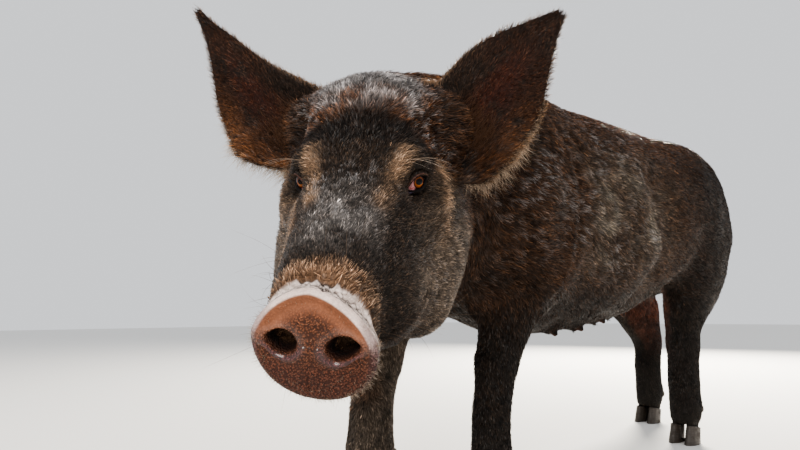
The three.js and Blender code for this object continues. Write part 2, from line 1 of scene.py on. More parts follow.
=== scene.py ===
# %% [markdown]
# # A standing pig, life size
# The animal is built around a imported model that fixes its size, pose and place. The flesh is copied from
# that model and turned into one seamless skin, the eyes and hooves are made as pieces of their own, and a
# coat of short bristles is laid over the skin. Everything is in metres, with the ground at zero.

# %% Load the frame
import json
import math

import bpy
import numpy as np
from mathutils import Matrix, Vector

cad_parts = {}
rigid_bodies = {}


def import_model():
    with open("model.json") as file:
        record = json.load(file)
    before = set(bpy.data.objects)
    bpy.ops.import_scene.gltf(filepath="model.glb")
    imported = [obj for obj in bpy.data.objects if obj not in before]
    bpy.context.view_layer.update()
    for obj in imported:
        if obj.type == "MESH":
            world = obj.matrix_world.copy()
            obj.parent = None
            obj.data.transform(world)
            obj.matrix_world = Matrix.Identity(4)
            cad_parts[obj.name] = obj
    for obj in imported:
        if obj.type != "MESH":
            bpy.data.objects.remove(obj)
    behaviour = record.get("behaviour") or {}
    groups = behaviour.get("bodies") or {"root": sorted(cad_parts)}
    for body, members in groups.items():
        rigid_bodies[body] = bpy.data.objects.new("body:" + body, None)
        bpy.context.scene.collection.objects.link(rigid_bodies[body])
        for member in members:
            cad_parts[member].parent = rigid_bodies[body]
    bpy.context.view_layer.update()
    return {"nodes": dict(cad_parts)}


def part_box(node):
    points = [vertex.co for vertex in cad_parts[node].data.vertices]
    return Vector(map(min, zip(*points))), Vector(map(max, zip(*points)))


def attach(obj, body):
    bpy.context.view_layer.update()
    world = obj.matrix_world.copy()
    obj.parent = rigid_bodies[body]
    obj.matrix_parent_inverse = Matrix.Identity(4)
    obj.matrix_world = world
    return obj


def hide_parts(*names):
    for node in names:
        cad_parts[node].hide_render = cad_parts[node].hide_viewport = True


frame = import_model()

# %% [markdown]
# ## Places on the body
# Measures are easier to read on the animal than in the room. The head has axes of its own: side to its
# left, forward down the face and up from the brow. Body places are counted from a point on the ground
# between the legs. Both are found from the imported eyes, so that every later formula stays on the packed
# model.

# %% Body and head axes
HEAD_PLACE = (0.144, -0.698, 0.412)
EYE_SIDE, EYE_BACK, EYE_DROP = 0.057, 0.009, 0.001
EYE_RADIUS = 0.013

HEAD_AXES = np.array(
    Matrix.Rotation(math.radians(40.9), 3, "Z")
    @ Matrix.Rotation(math.radians(37.4), 3, "X")
    @ Matrix.Rotation(math.radians(3.0), 3, "Y")
)
between_eyes = np.mean([corner for name in ("eye_left", "eye_right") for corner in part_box(name)], axis=0)
HEAD_AT = between_eyes - HEAD_AXES @ (0.0, EYE_BACK, -EYE_DROP)
GROUND = HEAD_AT - HEAD_PLACE


def to_head(points):
    """Side, forward and up of points in the head's own axes."""
    return (points - HEAD_AT) @ HEAD_AXES * (1, -1, 1)


def from_head(side, forward, up):
    return HEAD_AT + HEAD_AXES @ (side, -forward, up)


def along_head(side, forward, up):
    """A direction given in the head's own axes."""
    return HEAD_AXES @ (side, -forward, up)


def on_body(x, y, z):
    return GROUND + (x, y, z)


print("between the eyes:", HEAD_AT.round(3), " ground point:", GROUND.round(4))

# %% [markdown]
# ## Camera
# The camera stands close to the ground in front of the animal's left shoulder and looks slightly up at it
# with a wide lens. It comes first, so that every piece can be judged from it.

# %% Camera
camera_data = bpy.data.cameras.new("camera")
camera_data.sensor_width = 36.0
camera_data.lens = 22.76
camera = bpy.data.objects.new("camera", camera_data)
bpy.context.scene.collection.objects.link(camera)
view_along = Vector((-0.7528, 0.6338, 0.1776))
camera_roll = Matrix.Rotation(-0.007, 4, "Z")
camera_turn = view_along.to_track_quat("-Z", "Y").to_matrix().to_4x4()
camera.matrix_world = Matrix.Translation(on_body(0.5696, -0.9982, 0.2725)) @ camera_turn @ camera_roll
bpy.context.scene.camera = camera

# %% [markdown]
# ## Floor, sky and lamps
# Outdoors a pig is lit by the whole sky, and a low sun behind it rims its back. An image of a sky could
# do both, but one plain bright world and two round lamps, a strong one behind and a weak one in front,
# keep the colours easy to judge. The floor is a plain pale plane.

# %% Floor, sky and lamps
bpy.ops.mesh.primitive_plane_add(size=30)
floor = bpy.context.object
floor.name = "floor"
floor_paint = bpy.data.materials.new("floor_paint")
floor_paint.use_nodes = True
floor_paint.node_tree.nodes["Principled BSDF"].inputs["Base Color"].default_value = (0.75, 0.74, 0.72, 1)
floor_paint.node_tree.nodes["Principled BSDF"].inputs["Roughness"].default_value = 0.9
floor.data.materials.append(floor_paint)

sky = bpy.data.worlds.new("sky")
sky.use_nodes = True
sky.node_tree.nodes["Background"].inputs["Color"].default_value = (0.95, 0.97, 1.0, 1)
sky.node_tree.nodes["Background"].inputs["Strength"].default_value = 0.85
bpy.context.scene.world = sky
bpy.context.scene.view_settings.look = "AgX - Medium High Contrast"


def add_lamp(name, place, aim, size, power, colour):
    lamp_data = bpy.data.lights.new(name, "AREA")
    lamp_data.shape = "DISK"
    lamp_data.size = size
    lamp_data.energy = power
    lamp_data.color = colour
    lamp = bpy.data.objects.new(name, lamp_data)
    bpy.context.scene.collection.objects.link(lamp)
    toward = Vector(aim) - Vector(place)
    lamp.matrix_world = Matrix.Translation(place) @ toward.to_track_quat("-Z", "Y").to_matrix().to_4x4()
    lamp.visible_camera = False
    return lamp


add_lamp("rim_lamp", (-1.0, 2.9, 1.9), (0, 0, 0.5), 1.0, 380, (1.0, 0.93, 0.82))
add_lamp("key_lamp", (1.5, -2.3, 1.7), (0, -0.4, 0.4), 1.2, 45, (1.0, 0.97, 0.93))

# %% [markdown]
# ## Helpers for meshes
# Blender's own tools work on what is selected, and a formula works on numbers. The helpers switch between
# the two: they select a piece, enter and leave edit mode, and carry points, normals and edges into arrays
# and back. An array of a hundred thousand points is bent in one line, which is why most of the animal is
# shaped that way.

# %% Helpers for meshes
def activate(piece):
    bpy.ops.object.select_all(action="DESELECT")
    piece.select_set(True)
    bpy.context.view_layer.objects.active = piece


def edit(piece, select="SELECT"):
    activate(piece)
    bpy.ops.object.mode_set(mode="EDIT")
    bpy.ops.mesh.select_all(action=select)


def done():
    bpy.ops.object.mode_set(mode="OBJECT")


def points_of(mesh):
    flat = np.empty(3 * len(mesh.vertices), np.float32)
    mesh.vertices.foreach_get("co", flat)
    return flat.reshape(-1, 3).astype(float)


def put_points(mesh, points):
    mesh.vertices.foreach_set("co", points.astype(np.float32).ravel())
    mesh.update()


def normals_of(mesh):
    flat = np.empty(3 * len(mesh.vertices), np.float32)
    mesh.vertex_normals.foreach_get("vector", flat)
    return flat.reshape(-1, 3).astype(float)


def edges_of(mesh):
    flat = np.empty(2 * len(mesh.edges), np.int32)
    mesh.edges.foreach_get("vertices", flat)
    return flat.reshape(-1, 2)


def fade(value, start, end):
    """0 before start, 1 after end, with a soft S between. start may be above end."""
    t = np.clip((value - start) / (end - start), 0, 1)
    return t * t * (3 - 2 * t)


def peak(value, width):
    """1 at zero, falling away softly on both sides."""
    return np.exp(-((value / width) ** 2))


# %% [markdown]
# ## The ears
# A pig's ear is a stiff leaf of gristle under thin skin, wide at the root, cupped forward, pointed at the
# tip and rolled over along its upper edge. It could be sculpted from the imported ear, but that is too
# coarse to be cupped cleanly. A flat grid is bent along a few curves instead, which give both edges, the
# cup and the thickness at every distance from the root. Later the same curves tell which places of the
# skin belong to an ear.

# %% Ears as cupped sheets
EAR_ROOT = (0.086, -0.126, 0.014)
EAR_TIP = (0.234, -0.211, 0.146)
EAR_LOWER = (0.031, 0.066, -0.098)
EAR_CUP = 0.026
EAR_LOBE = 0.034
EAR_ROLL = 0.011
EAR_OUT = (-0.048, -0.026, 0.006, 0.050, 0.100, 0.145, 0.182, 0.214)
EAR_LOWER_REACH = {
    "left": (0.048, 0.078, 0.088, 0.081, 0.068, 0.041, 0.0200, 0.0055),
    "right": (0.012, 0.045, 0.077, 0.081, 0.066, 0.037, 0.0165, 0.004),
}
EAR_UPPER_REACH = {
    "left": (0.030, 0.046, 0.051, 0.050, 0.050, 0.038, 0.0215, 0.0050),
    "right": (0.030, 0.044, 0.055, 0.040, 0.022, 0.013, 0.005, 0.001),
}
EAR_THICK = (0.012, 0.011, 0.010, 0.0085, 0.0072, 0.0062, 0.0054, 0.0046)
EARS = {"left": (1, 0.97), "right": (-1, 1.13)}


def smooth_through(at, knots, values):
    """A soft curve through a few values."""
    at = np.clip(at, knots[0], knots[-1])
    knots, values = np.array(knots), np.array(values)
    slopes = np.gradient(values, knots)
    i = np.clip(np.searchsorted(knots, at) - 1, 0, len(knots) - 2)
    width = knots[i + 1] - knots[i]
    t = (at - knots[i]) / width
    return (
        (2 * t**3 - 3 * t**2 + 1) * values[i]
        + (t**3 - 2 * t**2 + t) * width * slopes[i]
        + (3 * t**2 - 2 * t**3) * values[i + 1]
        + (t**3 - t**2) * width * slopes[i + 1]
    )


def ear_axes(side):
    """Root, the way out to the tip, the way to the lower edge and the way the hollow faces, in the room."""
    sign = EARS[side][0]
    root, tip, lower = (from_head(sign * p[0], p[1], p[2]) for p in (EAR_ROOT, EAR_TIP, EAR_LOWER))
    lower = lower - HEAD_AT
    out = (tip - root) / np.linalg.norm(tip - root)
    lower -= out * (lower @ out)
    lower /= np.linalg.norm(lower)
    return root, out, lower, np.cross(lower, out) * sign


def ear_edges(side, along):
    """Where the upper and the lower edge of the ear lie across it."""
    high = -smooth_through(along, EAR_OUT, EAR_UPPER_REACH[side])
    return high, smooth_through(along, EAR_OUT, EAR_LOWER_REACH[side])


def ear_depth(along, v):
    """How the leaf is cupped between its upper edge, v = -1, and its lower edge, v = 1."""
    cup = EAR_CUP * (1 - 0.8 * np.clip(along / 0.214, 0, 1))
    return cup * (v * v - 1) + EAR_LOBE * fade(v, 0.0, 0.9) * fade(along, 0.085, 0.010)


def ear_places(points):
    """For each ear: its side, the place along and across it, and how much of a place is ear, and hollow."""
    for side in EARS:
        root, out, lower, facing = ear_axes(side)
        spot = points - root
        along = spot @ out / EARS[side][1]
        reach = spot @ lower
        high, low = ear_edges(side, along)
        v = 2 * (reach - high) / (low - high) - 1
        above = spot @ facing - ear_depth(along, np.clip(v, -1, 1))
        beyond = np.maximum(reach - low, high - reach)
        ear = fade(along + 0.035 * fade(v, 0.2, 0.9), -0.006, 0.018) * fade(beyond, 0.016, 0.008)
        ear *= fade(np.abs(above), 0.026, 0.016) * (along < 0.24)
        roll = fade(v, -0.30, -0.62) * fade(along, 0.15, 0.06)
        yield side, along, v, ear, ear * fade(above, -0.001, 0.0025) * (1 - roll)


def ear_sheet(side):
    _, stretch = EARS[side]
    root, out, lower, facing = ear_axes(side)
    bpy.ops.mesh.primitive_grid_add(x_subdivisions=90, y_subdivisions=56, size=2)
    sheet = bpy.context.object
    sheet.name = f"ear_sheet_{side}"
    flat = points_of(sheet.data)
    along = EAR_OUT[0] + (flat[:, 0] + 1) / 2 * (EAR_OUT[-1] - EAR_OUT[0])
    v = flat[:, 1]
    high, low = ear_edges(side, along)
    reach = high + (low - high) * (v + 1) / 2
    put_points(
        sheet.data,
        root + np.outer(along * stretch, out) + np.outer(reach, lower)
        + np.outer(ear_depth(along, v), facing),
    )
    thickness = smooth_through(along, EAR_OUT, EAR_THICK) * (1 - 0.5 * v**4)
    thickness += EAR_ROLL * fade(v, -0.15, -0.75) * fade(along, 0.13, 0.04)
    group = sheet.vertex_groups.new(name="thickness")
    for i, t in enumerate(thickness):
        group.add([i], float(t / 0.024), "REPLACE")
    solid = sheet.modifiers.new("solid", "SOLIDIFY")
    solid.thickness = 0.024
    solid.offset = 0
    solid.vertex_group = "thickness"
    activate(sheet)
    bpy.ops.object.modifier_apply(modifier="solid")
    edit(sheet)
    bpy.ops.mesh.normals_make_consistent(inside=False)
    done()
    return sheet


# %% [markdown]
# ## Copies of the flesh
# Living skin has no seams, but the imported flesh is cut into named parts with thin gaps. A boolean union
# would leave a crease at every cut. So copies of all parts are puffed up a hair's breadth, until
# neighbours overlap, and a voxel remesh turns them into one skin of small even squares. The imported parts
# themselves are left alone.

# %% Join and remesh
HORN = sorted(n for n in frame["nodes"] if "hoof" in n or "dewclaw" in n)
EYES = ["eye_left", "eye_right"]
LATE = ["ear_left", "ear_right", "tail"]
HOOVES = [name for name in HORN if "hoof" in name]
DEWCLAWS = [name for name in HORN if "dewclaw" in name]
FLESH = sorted(set(frame["nodes"]) - set(HORN) - set(EYES))


def node_copy(node, name):
    piece = bpy.data.objects.new(name, frame["nodes"][node].data.copy())
    bpy.context.scene.collection.objects.link(piece)
    piece.data.materials.clear()
    edit(piece)
    bpy.ops.mesh.remove_doubles(threshold=1e-5)
    done()
    return piece


def puffed(node):
    piece = node_copy(node, "flesh_copy")
    edit(piece)
    bpy.ops.transform.shrink_fatten(value=0.0006)
    done()
    return piece


def joined(parts, name):
    bpy.ops.object.select_all(action="DESELECT")
    for piece in parts:
        piece.select_set(True)
    bpy.context.view_layer.objects.active = parts[0]
    bpy.ops.object.join()
    parts[0].name = name
    parts[0].data.name = name
    return parts[0]


def pick(piece, chosen):
    """Edit mode with the chosen points selected."""
    edit(piece, "DESELECT")
    bpy.ops.mesh.select_mode(type="VERT")
    done()
    piece.data.vertices.foreach_set("select", chosen)
    bpy.ops.object.mode_set(mode="EDIT")
    bpy.ops.mesh.select_mode(type="VERT")


def remeshed(piece, voxel):
    """Even squares all over, and only the island with the highest point."""
    activate(piece)
    piece.data.remesh_voxel_size = voxel
    bpy.ops.object.voxel_remesh()
    heights = points_of(piece.data)[:, 2]
    pick(piece, heights == heights.max())
    bpy.ops.mesh.select_linked()
    bpy.ops.mesh.select_all(action="INVERT")
    bpy.ops.mesh.delete(type="VERT")
    done()
    return piece


def relaxed(points, edges, strength, rounds, back=0.62):
    """Smooths without shrinking: a push toward the neighbours' middle, then a slightly larger push back."""
    a, b = edges.T
    n = len(points)
    count = (np.bincount(a, minlength=n) + np.bincount(b, minlength=n))[:, None]
    for turn in range(2 * rounds):
        total = np.stack(
            [np.bincount(a, points[b, k], n) + np.bincount(b, points[a, k], n) for k in range(3)],
            axis=1,
        )
        push = 0.6 if turn % 2 == 0 else -back
        points = points + (total / count - points) * (push * strength)[:, None]
    return points

# %% [markdown]
# ## One skin in two rounds
# Neck, trunk and legs flow into each other, while ears, tail and feet keep crisp shapes. One remesh can't
# give both. A coarse round melts the trunk and legs together and smooths them hard. A fine round then
# adds the ears, the tail and the hooves and smooths only lightly, apart from the roots of the ears.

# %% Two rounds of remeshing
skin = joined([puffed(node) for node in FLESH + EYES if node not in LATE], "skin")
remeshed(skin, 0.006)
points = points_of(skin.data)
edges = edges_of(skin.data)
place = points - GROUND
points = relaxed(points, edges, np.ones(len(points)), 10)
body_mask = fade(place[:, 1], -0.58, -0.46) * fade(place[:, 2], 0.09, 0.15) * fade(place[:, 1], 0.50, 0.46)
points = relaxed(points, edges, body_mask, 110)
put_points(skin.data, points)
print("smooth body:", len(points), "points")

late = [ear_sheet(side) for side in EARS] + [puffed(name) for name in ["tail"] + HOOVES]
skin = joined([skin] + late, "skin")
remeshed(skin, 0.003)
points = points_of(skin.data)
head = to_head(points)
ear_mask = fade(np.abs(head[:, 0]), 0.105, 0.12) * fade(head[:, 1], -0.04, -0.09)
points = relaxed(points, edges_of(skin.data), 1 - 0.75 * ear_mask, 9)
root_mask = np.zeros(len(points))
for side in EARS:
    root, out, lower, facing = ear_axes(side)
    spot = points - root
    inside = fade(spot @ lower, -0.075, -0.05) * fade(spot @ lower, 0.10, 0.075)
    inside *= fade(np.abs(spot @ facing), 0.06, 0.04)
    root_mask = np.maximum(root_mask, inside * peak(spot @ out - 0.002, 0.022))
points = relaxed(points, edges_of(skin.data), root_mask, 45, back=0)
put_points(skin.data, points)
print("raw skin:", len(points), "points")

# %% [markdown]
# ## Swellings, folds and clouds
# Muscle swells, skin folds and dirt lies in patches. Each of the three is a formula here: a soft round
# bump, a groove along a line of places, and clouds of smooth random values. Brush strokes would do as
# well, but formulas can be written down, mirrored and used again for colour.

# %% Bumps, grooves and clouds
def bump(points, middle, radii, height):
    """A round swelling, in the units and axes of points."""
    return height * np.exp(-(((points - middle) / radii) ** 2).sum(1))


def groove(points, line, width, depth, lip=0.0):
    """A fold along a line of places, which fades toward both ends, with a soft lip on either side."""
    line = np.array(line, float)
    lengths = np.linalg.norm(np.diff(line, axis=0), axis=1)
    starts = np.concatenate([[0], np.cumsum(lengths)]) / lengths.sum()
    best = np.full(len(points), 1e9)
    along = np.zeros(len(points))
    for i, (a, b) in enumerate(zip(line[:-1], line[1:])):
        t = np.clip((points - a) @ (b - a) / lengths[i] ** 2, 0, 1)
        away = np.linalg.norm(points - a - np.outer(t, b - a), axis=1)
        closer = away < best
        best[closer] = away[closer]
        along[closer] = (starts[i] + t * (starts[i + 1] - starts[i]))[closer]
    ends = fade(along, 0, 0.2) * fade(along, 1, 0.8)
    return ends * (lip * peak(best - 2.4 * width, 1.5 * width) - depth * peak(best, width))


def clouds(points, size, seed, octaves=3):
    """Smooth random values from 0 to 1 that change over the given size, the same at every call."""
    table = np.random.default_rng(seed).random(4096)
    total = np.zeros(len(points))
    for octave in range(octaves):
        q = points / size * 2**octave + 31.7 * (octave + 1)
        cell = np.floor(q).astype(np.int64)
        t = q - cell
        t = t * t * (3 - 2 * t)
        value = np.zeros(len(points))
        for corner in range(8):
            step = np.array([corner & 1, corner >> 1 & 1, corner >> 2 & 1])
            key = ((cell + step) * (73856093, 19349663, 83492791)).sum(1) & 4095
            value += table[key] * np.where(step, t, 1 - t).prod(1)
        total += value * 0.5**octave
    return total / (2 - 0.5 ** (octaves - 1))

# %% [markdown]
# ## Muscle and folds of the body
# A young pig is lean enough for the shoulder blade, the end of the barrel and the hollow of the flank to
# show. They are low swellings and steps laid over the smooth skin, the same on both sides, and so are the
# teats.

# %% Body forms
# heights up the body, and how far back an edge lies at each of them
SHOULDER_EDGE = (
    (0.28, 0.30, 0.345, 0.37, 0.40, 0.46, 0.52, 0.54, 0.575),
    (-0.352, -0.338, -0.313, -0.298, -0.296, -0.289, -0.297, -0.312, -0.332),
)
FLANK_EDGE = (
    (0.30, 0.344, 0.373, 0.40, 0.426, 0.455, 0.486, 0.53),
    (-0.070, -0.048, -0.025, -0.016, -0.040, -0.060, -0.068, -0.08),
)
# lines of places along a fold, with its width, its depth and the height of its lips
WITHERS_LINE = (
    (0.139, -0.297, 0.586), (0.146, -0.270, 0.565), (0.151, -0.245, 0.541),
    (0.157, -0.232, 0.516), (0.160, -0.224, 0.480),
)
BODY_FOLDS = (
    (WITHERS_LINE, 0.006, 0.0042, 0.0015),
    (((0.146, -0.345, 0.575), (0.153, -0.323, 0.537), (0.157, -0.315, 0.500)), 0.006, 0.0032, 0.0012),
    (((0.150, 0.03, 0.33), (0.128, 0.08, 0.31), (0.095, 0.12, 0.30)), 0.010, 0.007, 0.002),
    (((0.11, -0.44, 0.37), (0.125, -0.40, 0.315), (0.12, -0.345, 0.29)), 0.008, 0.0045, 0.0015),
)
# middle, half sizes and height of the upper arm, shoulder, thigh and hip, and of the hollow behind the thigh
MUSCLES = (
    ((0.135, -0.375, 0.345), (0.05, 0.045, 0.05), 0.008),
    ((0.14, -0.36, 0.50), (0.06, 0.05, 0.09), 0.007),
    ((0.15, 0.27, 0.42), (0.06, 0.08, 0.09), 0.008),
    ((0.12, 0.20, 0.54), (0.07, 0.05, 0.05), 0.006),
    ((0.12, 0.40, 0.36), (0.05, 0.022, 0.09), -0.006),
)
TEAT_ROWS = (-0.22, -0.1375, -0.055, 0.0275, 0.11)
TEAT_ASIDE = 0.056


def body_forms(place, normals):
    """How far the skin stands out at places counted from the ground point, the same left and right."""
    mirrored = np.stack([np.abs(place[:, 0]), place[:, 1], place[:, 2]], axis=1)
    x, y, z = mirrored.T
    rise = 0.0024 * (clouds(place, 0.055, 3) - 0.5) * fade(y, -0.62, -0.5) * fade(z, 0.1, 0.2)
    behind = y - np.interp(z, *SHOULDER_EDGE)
    step = fade(z, 0.275, 0.32) * fade(z, 0.60, 0.55)
    rise += step * (0.0065 * peak(behind + 0.012, 0.016) - 0.0080 * peak(behind - 0.010, 0.012))
    behind = y - np.interp(z, *FLANK_EDGE)
    step = fade(z, 0.275, 0.33) * fade(z, 0.585, 0.50) * fade(x, 0.06, 0.11)
    hollow = 0.021 * fade(behind, -0.006, 0.026) * fade(behind, 0.19, 0.06)
    rise += step * (0.006 * peak(behind + 0.035, 0.045) - hollow)
    for fold in BODY_FOLDS:
        rise += groove(mirrored, *fold)
    for muscle in MUSCLES:
        rise += bump(mirrored, *muscle)
    downward = fade(-normals[:, 2], 0.2, 0.5) * fade(z, 0.36, 0.33)
    for row in TEAT_ROWS:
        away = np.hypot(x - TEAT_ASIDE, y - row)
        rise += downward * (0.0035 * peak(away, 0.018) + 0.0075 * fade(away, 0.0075, 0.0030))
    return rise


points = points_of(skin.data)
normals = normals_of(skin.data)
points += normals * body_forms(points - GROUND, normals)[:, None]
put_points(skin.data, points)

# %% [markdown]
# ## Room for the coat
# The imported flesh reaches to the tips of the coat, so the skin is drawn in by the coat's depth: half a
# centimetre on the trunk, less on the legs and face, and almost nothing on the ears and the feet. The
# trunk's squares can then be larger, because the coat covers them.

# %% Coat depth and coarser trunk
TRUNK_RATIO, HEAD_RATIO = 0.075, 0.24


def coat_depth(points):
    """How deep the coat lies at a place."""
    head = to_head(points)
    place = points - GROUND
    on_face = fade(head[:, 1], -0.20, -0.08)
    depth = 0.0045 * (1 - on_face) + on_face * (0.0028 - 0.0018 * fade(head[:, 1], 0.0, 0.13))
    depth *= 1 - 0.9 * fade(head[:, 1], 0.165, 0.185)
    on_leg = fade(place[:, 2], 0.34, 0.26) * (1 - on_face)
    depth = depth * (1 - on_leg) + on_leg * (0.0010 + 0.0012 * fade(place[:, 2], 0.09, 0.2))
    for _, _, _, ear, _ in ear_places(points):
        depth = depth * (1 - ear) + ear * 0.0004
    return depth + 0.0022 * fade(place[:, 2], 0.050, 0.040)


def fine_regions(points):
    """Where the squares stay small: on the head, and round the teats and on the feet."""
    x, y, z = (points - GROUND).T
    near_head = (to_head(points)[:, 1] > -0.17) & (y < -0.42)
    belly = (np.abs(np.abs(x) - TEAT_ASIDE) < 0.03) & (np.abs(y + 0.05) < 0.24) & (z < 0.33)
    return near_head, belly | (z < 0.11)


points = points_of(skin.data)
points -= normals_of(skin.data) * coat_depth(points)[:, None]
put_points(skin.data, points)
near_head, low = fine_regions(points)
pick(skin, ~(near_head | low))
bpy.ops.mesh.decimate(ratio=TRUNK_RATIO)
done()
points = points_of(skin.data)
near_head, low = fine_regions(points)
around_eyes = np.min(
    [np.linalg.norm(points - HEAD_AT - along_head(sign * EYE_SIDE, 0, 0), axis=1) for sign in (1, -1)], axis=0
)
plain = near_head & (to_head(points)[:, 1] < 0.150) & (around_eyes > 0.034)
pick(skin, plain | low)
bpy.ops.mesh.decimate(ratio=HEAD_RATIO)
done()
edit(skin)
bpy.ops.mesh.select_mode(type="FACE")
bpy.ops.mesh.select_all(action="SELECT")
skin.data.uv_layers.new(name="OFBake")
bpy.ops.uv.smart_project(angle_limit=math.radians(66), island_margin=0.002)
done()
print("coarser trunk:", len(skin.data.vertices), "points")


def refine(piece, chosen):
    """Cuts every square between the chosen points in four."""
    pick(piece, chosen)
    bpy.ops.mesh.subdivide(number_cuts=1, smoothness=0)
    done()


# %% [markdown]
# ## The snout
# A pig's nose ends in a broad upright disc of naked skin over a plate of gristle, with which it digs. Its
# rim has to run clean all the way round, which a remesh can't promise. So the disc is a formula, a
# distance from a rounded plate, and the squares near it are settled on that formula.

# %% Snout
SNOUT_MIDDLE = np.array([0, 0.201, -0.049])
SNOUT_PITCH, SNOUT_ROLL = math.radians(19), math.radians(-5)
SNOUT_HALF = 0.049
SNOUT_TOP, SNOUT_FOOT = 0.0425, 0.0445
SNOUT_LEAN = 0.12
SNOUT_RIM = 0.0065
NOSTRIL_ASIDE = 0.0245
_level = np.array([1.0, 0, 0])
_upright = np.array([0, -math.sin(SNOUT_PITCH), math.cos(SNOUT_PITCH)])
SNOUT_AXES = np.array(
    [
        _level * math.cos(SNOUT_ROLL) + _upright * math.sin(SNOUT_ROLL),
        [0, math.cos(SNOUT_PITCH), math.sin(SNOUT_PITCH)],
        _upright * math.cos(SNOUT_ROLL) - _level * math.sin(SNOUT_ROLL),
    ]
)


def to_snout(points):
    """Across, forward and up in the snout's own axes, with the middle of the disc at zero."""
    return (to_head(points) - SNOUT_MIDDLE) @ SNOUT_AXES.T


def from_snout(local):
    side, forward, up = (SNOUT_MIDDLE + local @ SNOUT_AXES).T
    return HEAD_AT + np.stack([side, -forward, up], axis=1) @ HEAD_AXES.T


def disc_reach(across, up, inset=0.0):
    """0 in the middle of the disc, 1 on its outline: blunt below and peaked above."""
    power = 2.1 - 0.5 * fade(up, -0.01, 0.012)
    tall = SNOUT_FOOT + (SNOUT_TOP - SNOUT_FOOT) * fade(up, -0.01, 0.012)
    a = np.abs(across + SNOUT_LEAN * up) / (SNOUT_HALF - inset)
    b = np.abs(up) / (tall - inset)
    return (a**power + b**power + 1e-9) ** (1 / power)


def disc_distance(local):
    ring = (disc_reach(local[:, 0], local[:, 2], SNOUT_RIM) - 1) * 0.036
    face = local[:, 1] + SNOUT_RIM
    outside = np.hypot(np.maximum(ring, 0), np.maximum(face, 0))
    return outside + np.minimum(np.maximum(ring, face), 0) - SNOUT_RIM


def settle_on_disc(points):
    local = to_snout(points)
    reach = disc_reach(local[:, 0], local[:, 2])
    flat = (reach < 0.84) & (np.abs(local[:, 1] + 0.01) < 0.028)
    local[flat, 1] = 0
    near = (reach < 1.5) & (local[:, 1] > -0.022) & ~flat
    spot = local[near]
    weight = fade(spot[:, 1], -0.021, -0.010)[:, None]
    moved = spot.copy()
    for _ in range(6):
        value = disc_distance(moved)
        slope = np.stack(
            [disc_distance(moved + step) - value for step in 1e-5 * np.eye(3)],
            axis=1,
        )
        moved -= slope * (value * 1e-5 / np.maximum((slope**2).sum(1), 1e-14))[:, None]
    local[near] = spot + (moved - spot) * weight
    return local

# %% [markdown]
# ## Nostrils and the face of the disc
# The face of the disc is dished, with a raised rim, two slanting nostrils with thick lower edges and a
# furrow between them. The strip of naked skin behind its upper rim is folded. All of it is a height over
# the flat disc, so that each feature is one line that can be tuned alone.

# %% Relief of the snout
def nostril_reach(local, side, grow=1.0):
    """0 in the middle of a nostril, 1 on its edge: an almond whose outer end points up and out."""
    across = (local[:, 0] - side * NOSTRIL_ASIDE) * side
    up = local[:, 2] - 0.001 - 0.10 * across
    tall = 0.0088 + 0.0012 * fade(across, 0.004, -0.006) - 0.003 * fade(across, 0.002, 0.013)
    return np.hypot(across / (0.0135 * grow), up / (tall * grow))


def snout_relief(local):
    """How far the disc's face stands forward of flat."""
    across, up = local[:, 0], local[:, 2]
    reach = disc_reach(across, up)
    above = fade(up, -0.004, 0.014)
    relief = -0.0030 * above * peak(reach - 0.74, 0.15)
    relief += 0.0012 * above * peak(reach - 0.97, 0.06)
    relief += 0.0034 * np.exp(-((across / 0.012) ** 2) - ((up + 0.003) / 0.017) ** 2)
    relief += 0.0026 * np.exp(-((across / 0.026) ** 2) - ((up + 0.024) / 0.012) ** 2)
    relief -= 0.0016 * np.exp(-((across / 0.0018) ** 2) - ((up + 0.031) / 0.010) ** 2)
    relief -= 0.0010 * np.exp(-((across / 0.013) ** 2) - ((up - 0.0005) / 0.0011) ** 2)
    for side in (1, -1):
        t = nostril_reach(local, side)
        lower = fade(up - 0.001, 0.004, -0.006)
        relief += (0.0012 + 0.0016 * lower) * peak(t - 1.35, 0.30)
        relief -= 0.021 * fade(t, 1.06, 0.42)
    return relief


def rim_folds(local):
    """Folds in the strip of naked skin behind the upper rim, and the deep fold where the hair begins."""
    across, forward, up = local.T
    above = fade(up, 0.010, 0.022)
    wave = 0.0006 * np.sin(across * 330) + 0.0005 * np.sin(across * 770 + 1.3)
    depth = 0.0026 * peak(forward + 0.0185 - wave + 4.0 * across**2, 0.0011)
    depth += 0.0010 * peak(forward + 0.0145 - wave, 0.0008)
    depth += 0.0009 * peak(forward + 0.0110 + wave, 0.0007) * fade(np.abs(across - 0.004), 0.006, 0.014)
    for lean in (-0.9, -0.35, 0.3, 0.85):
        offset = across - 0.004 - lean * (forward + 0.0085)
        crease = fade(forward, -0.0075, -0.0095) * fade(forward, -0.018, -0.014)
        depth += 0.0011 * peak(offset, 0.0007) * crease
    return -depth * above

# %% [markdown]
# ## Shaping the snout
# Fine relief needs small squares, but only here. The squares near the disc are cut in four twice and
# settled again after each cut, and then the relief is added.

# %% Cut, settle and carve the snout
def shape_snout():
    local = settle_on_disc(points_of(skin.data))
    put_points(skin.data, from_snout(local))
    return local


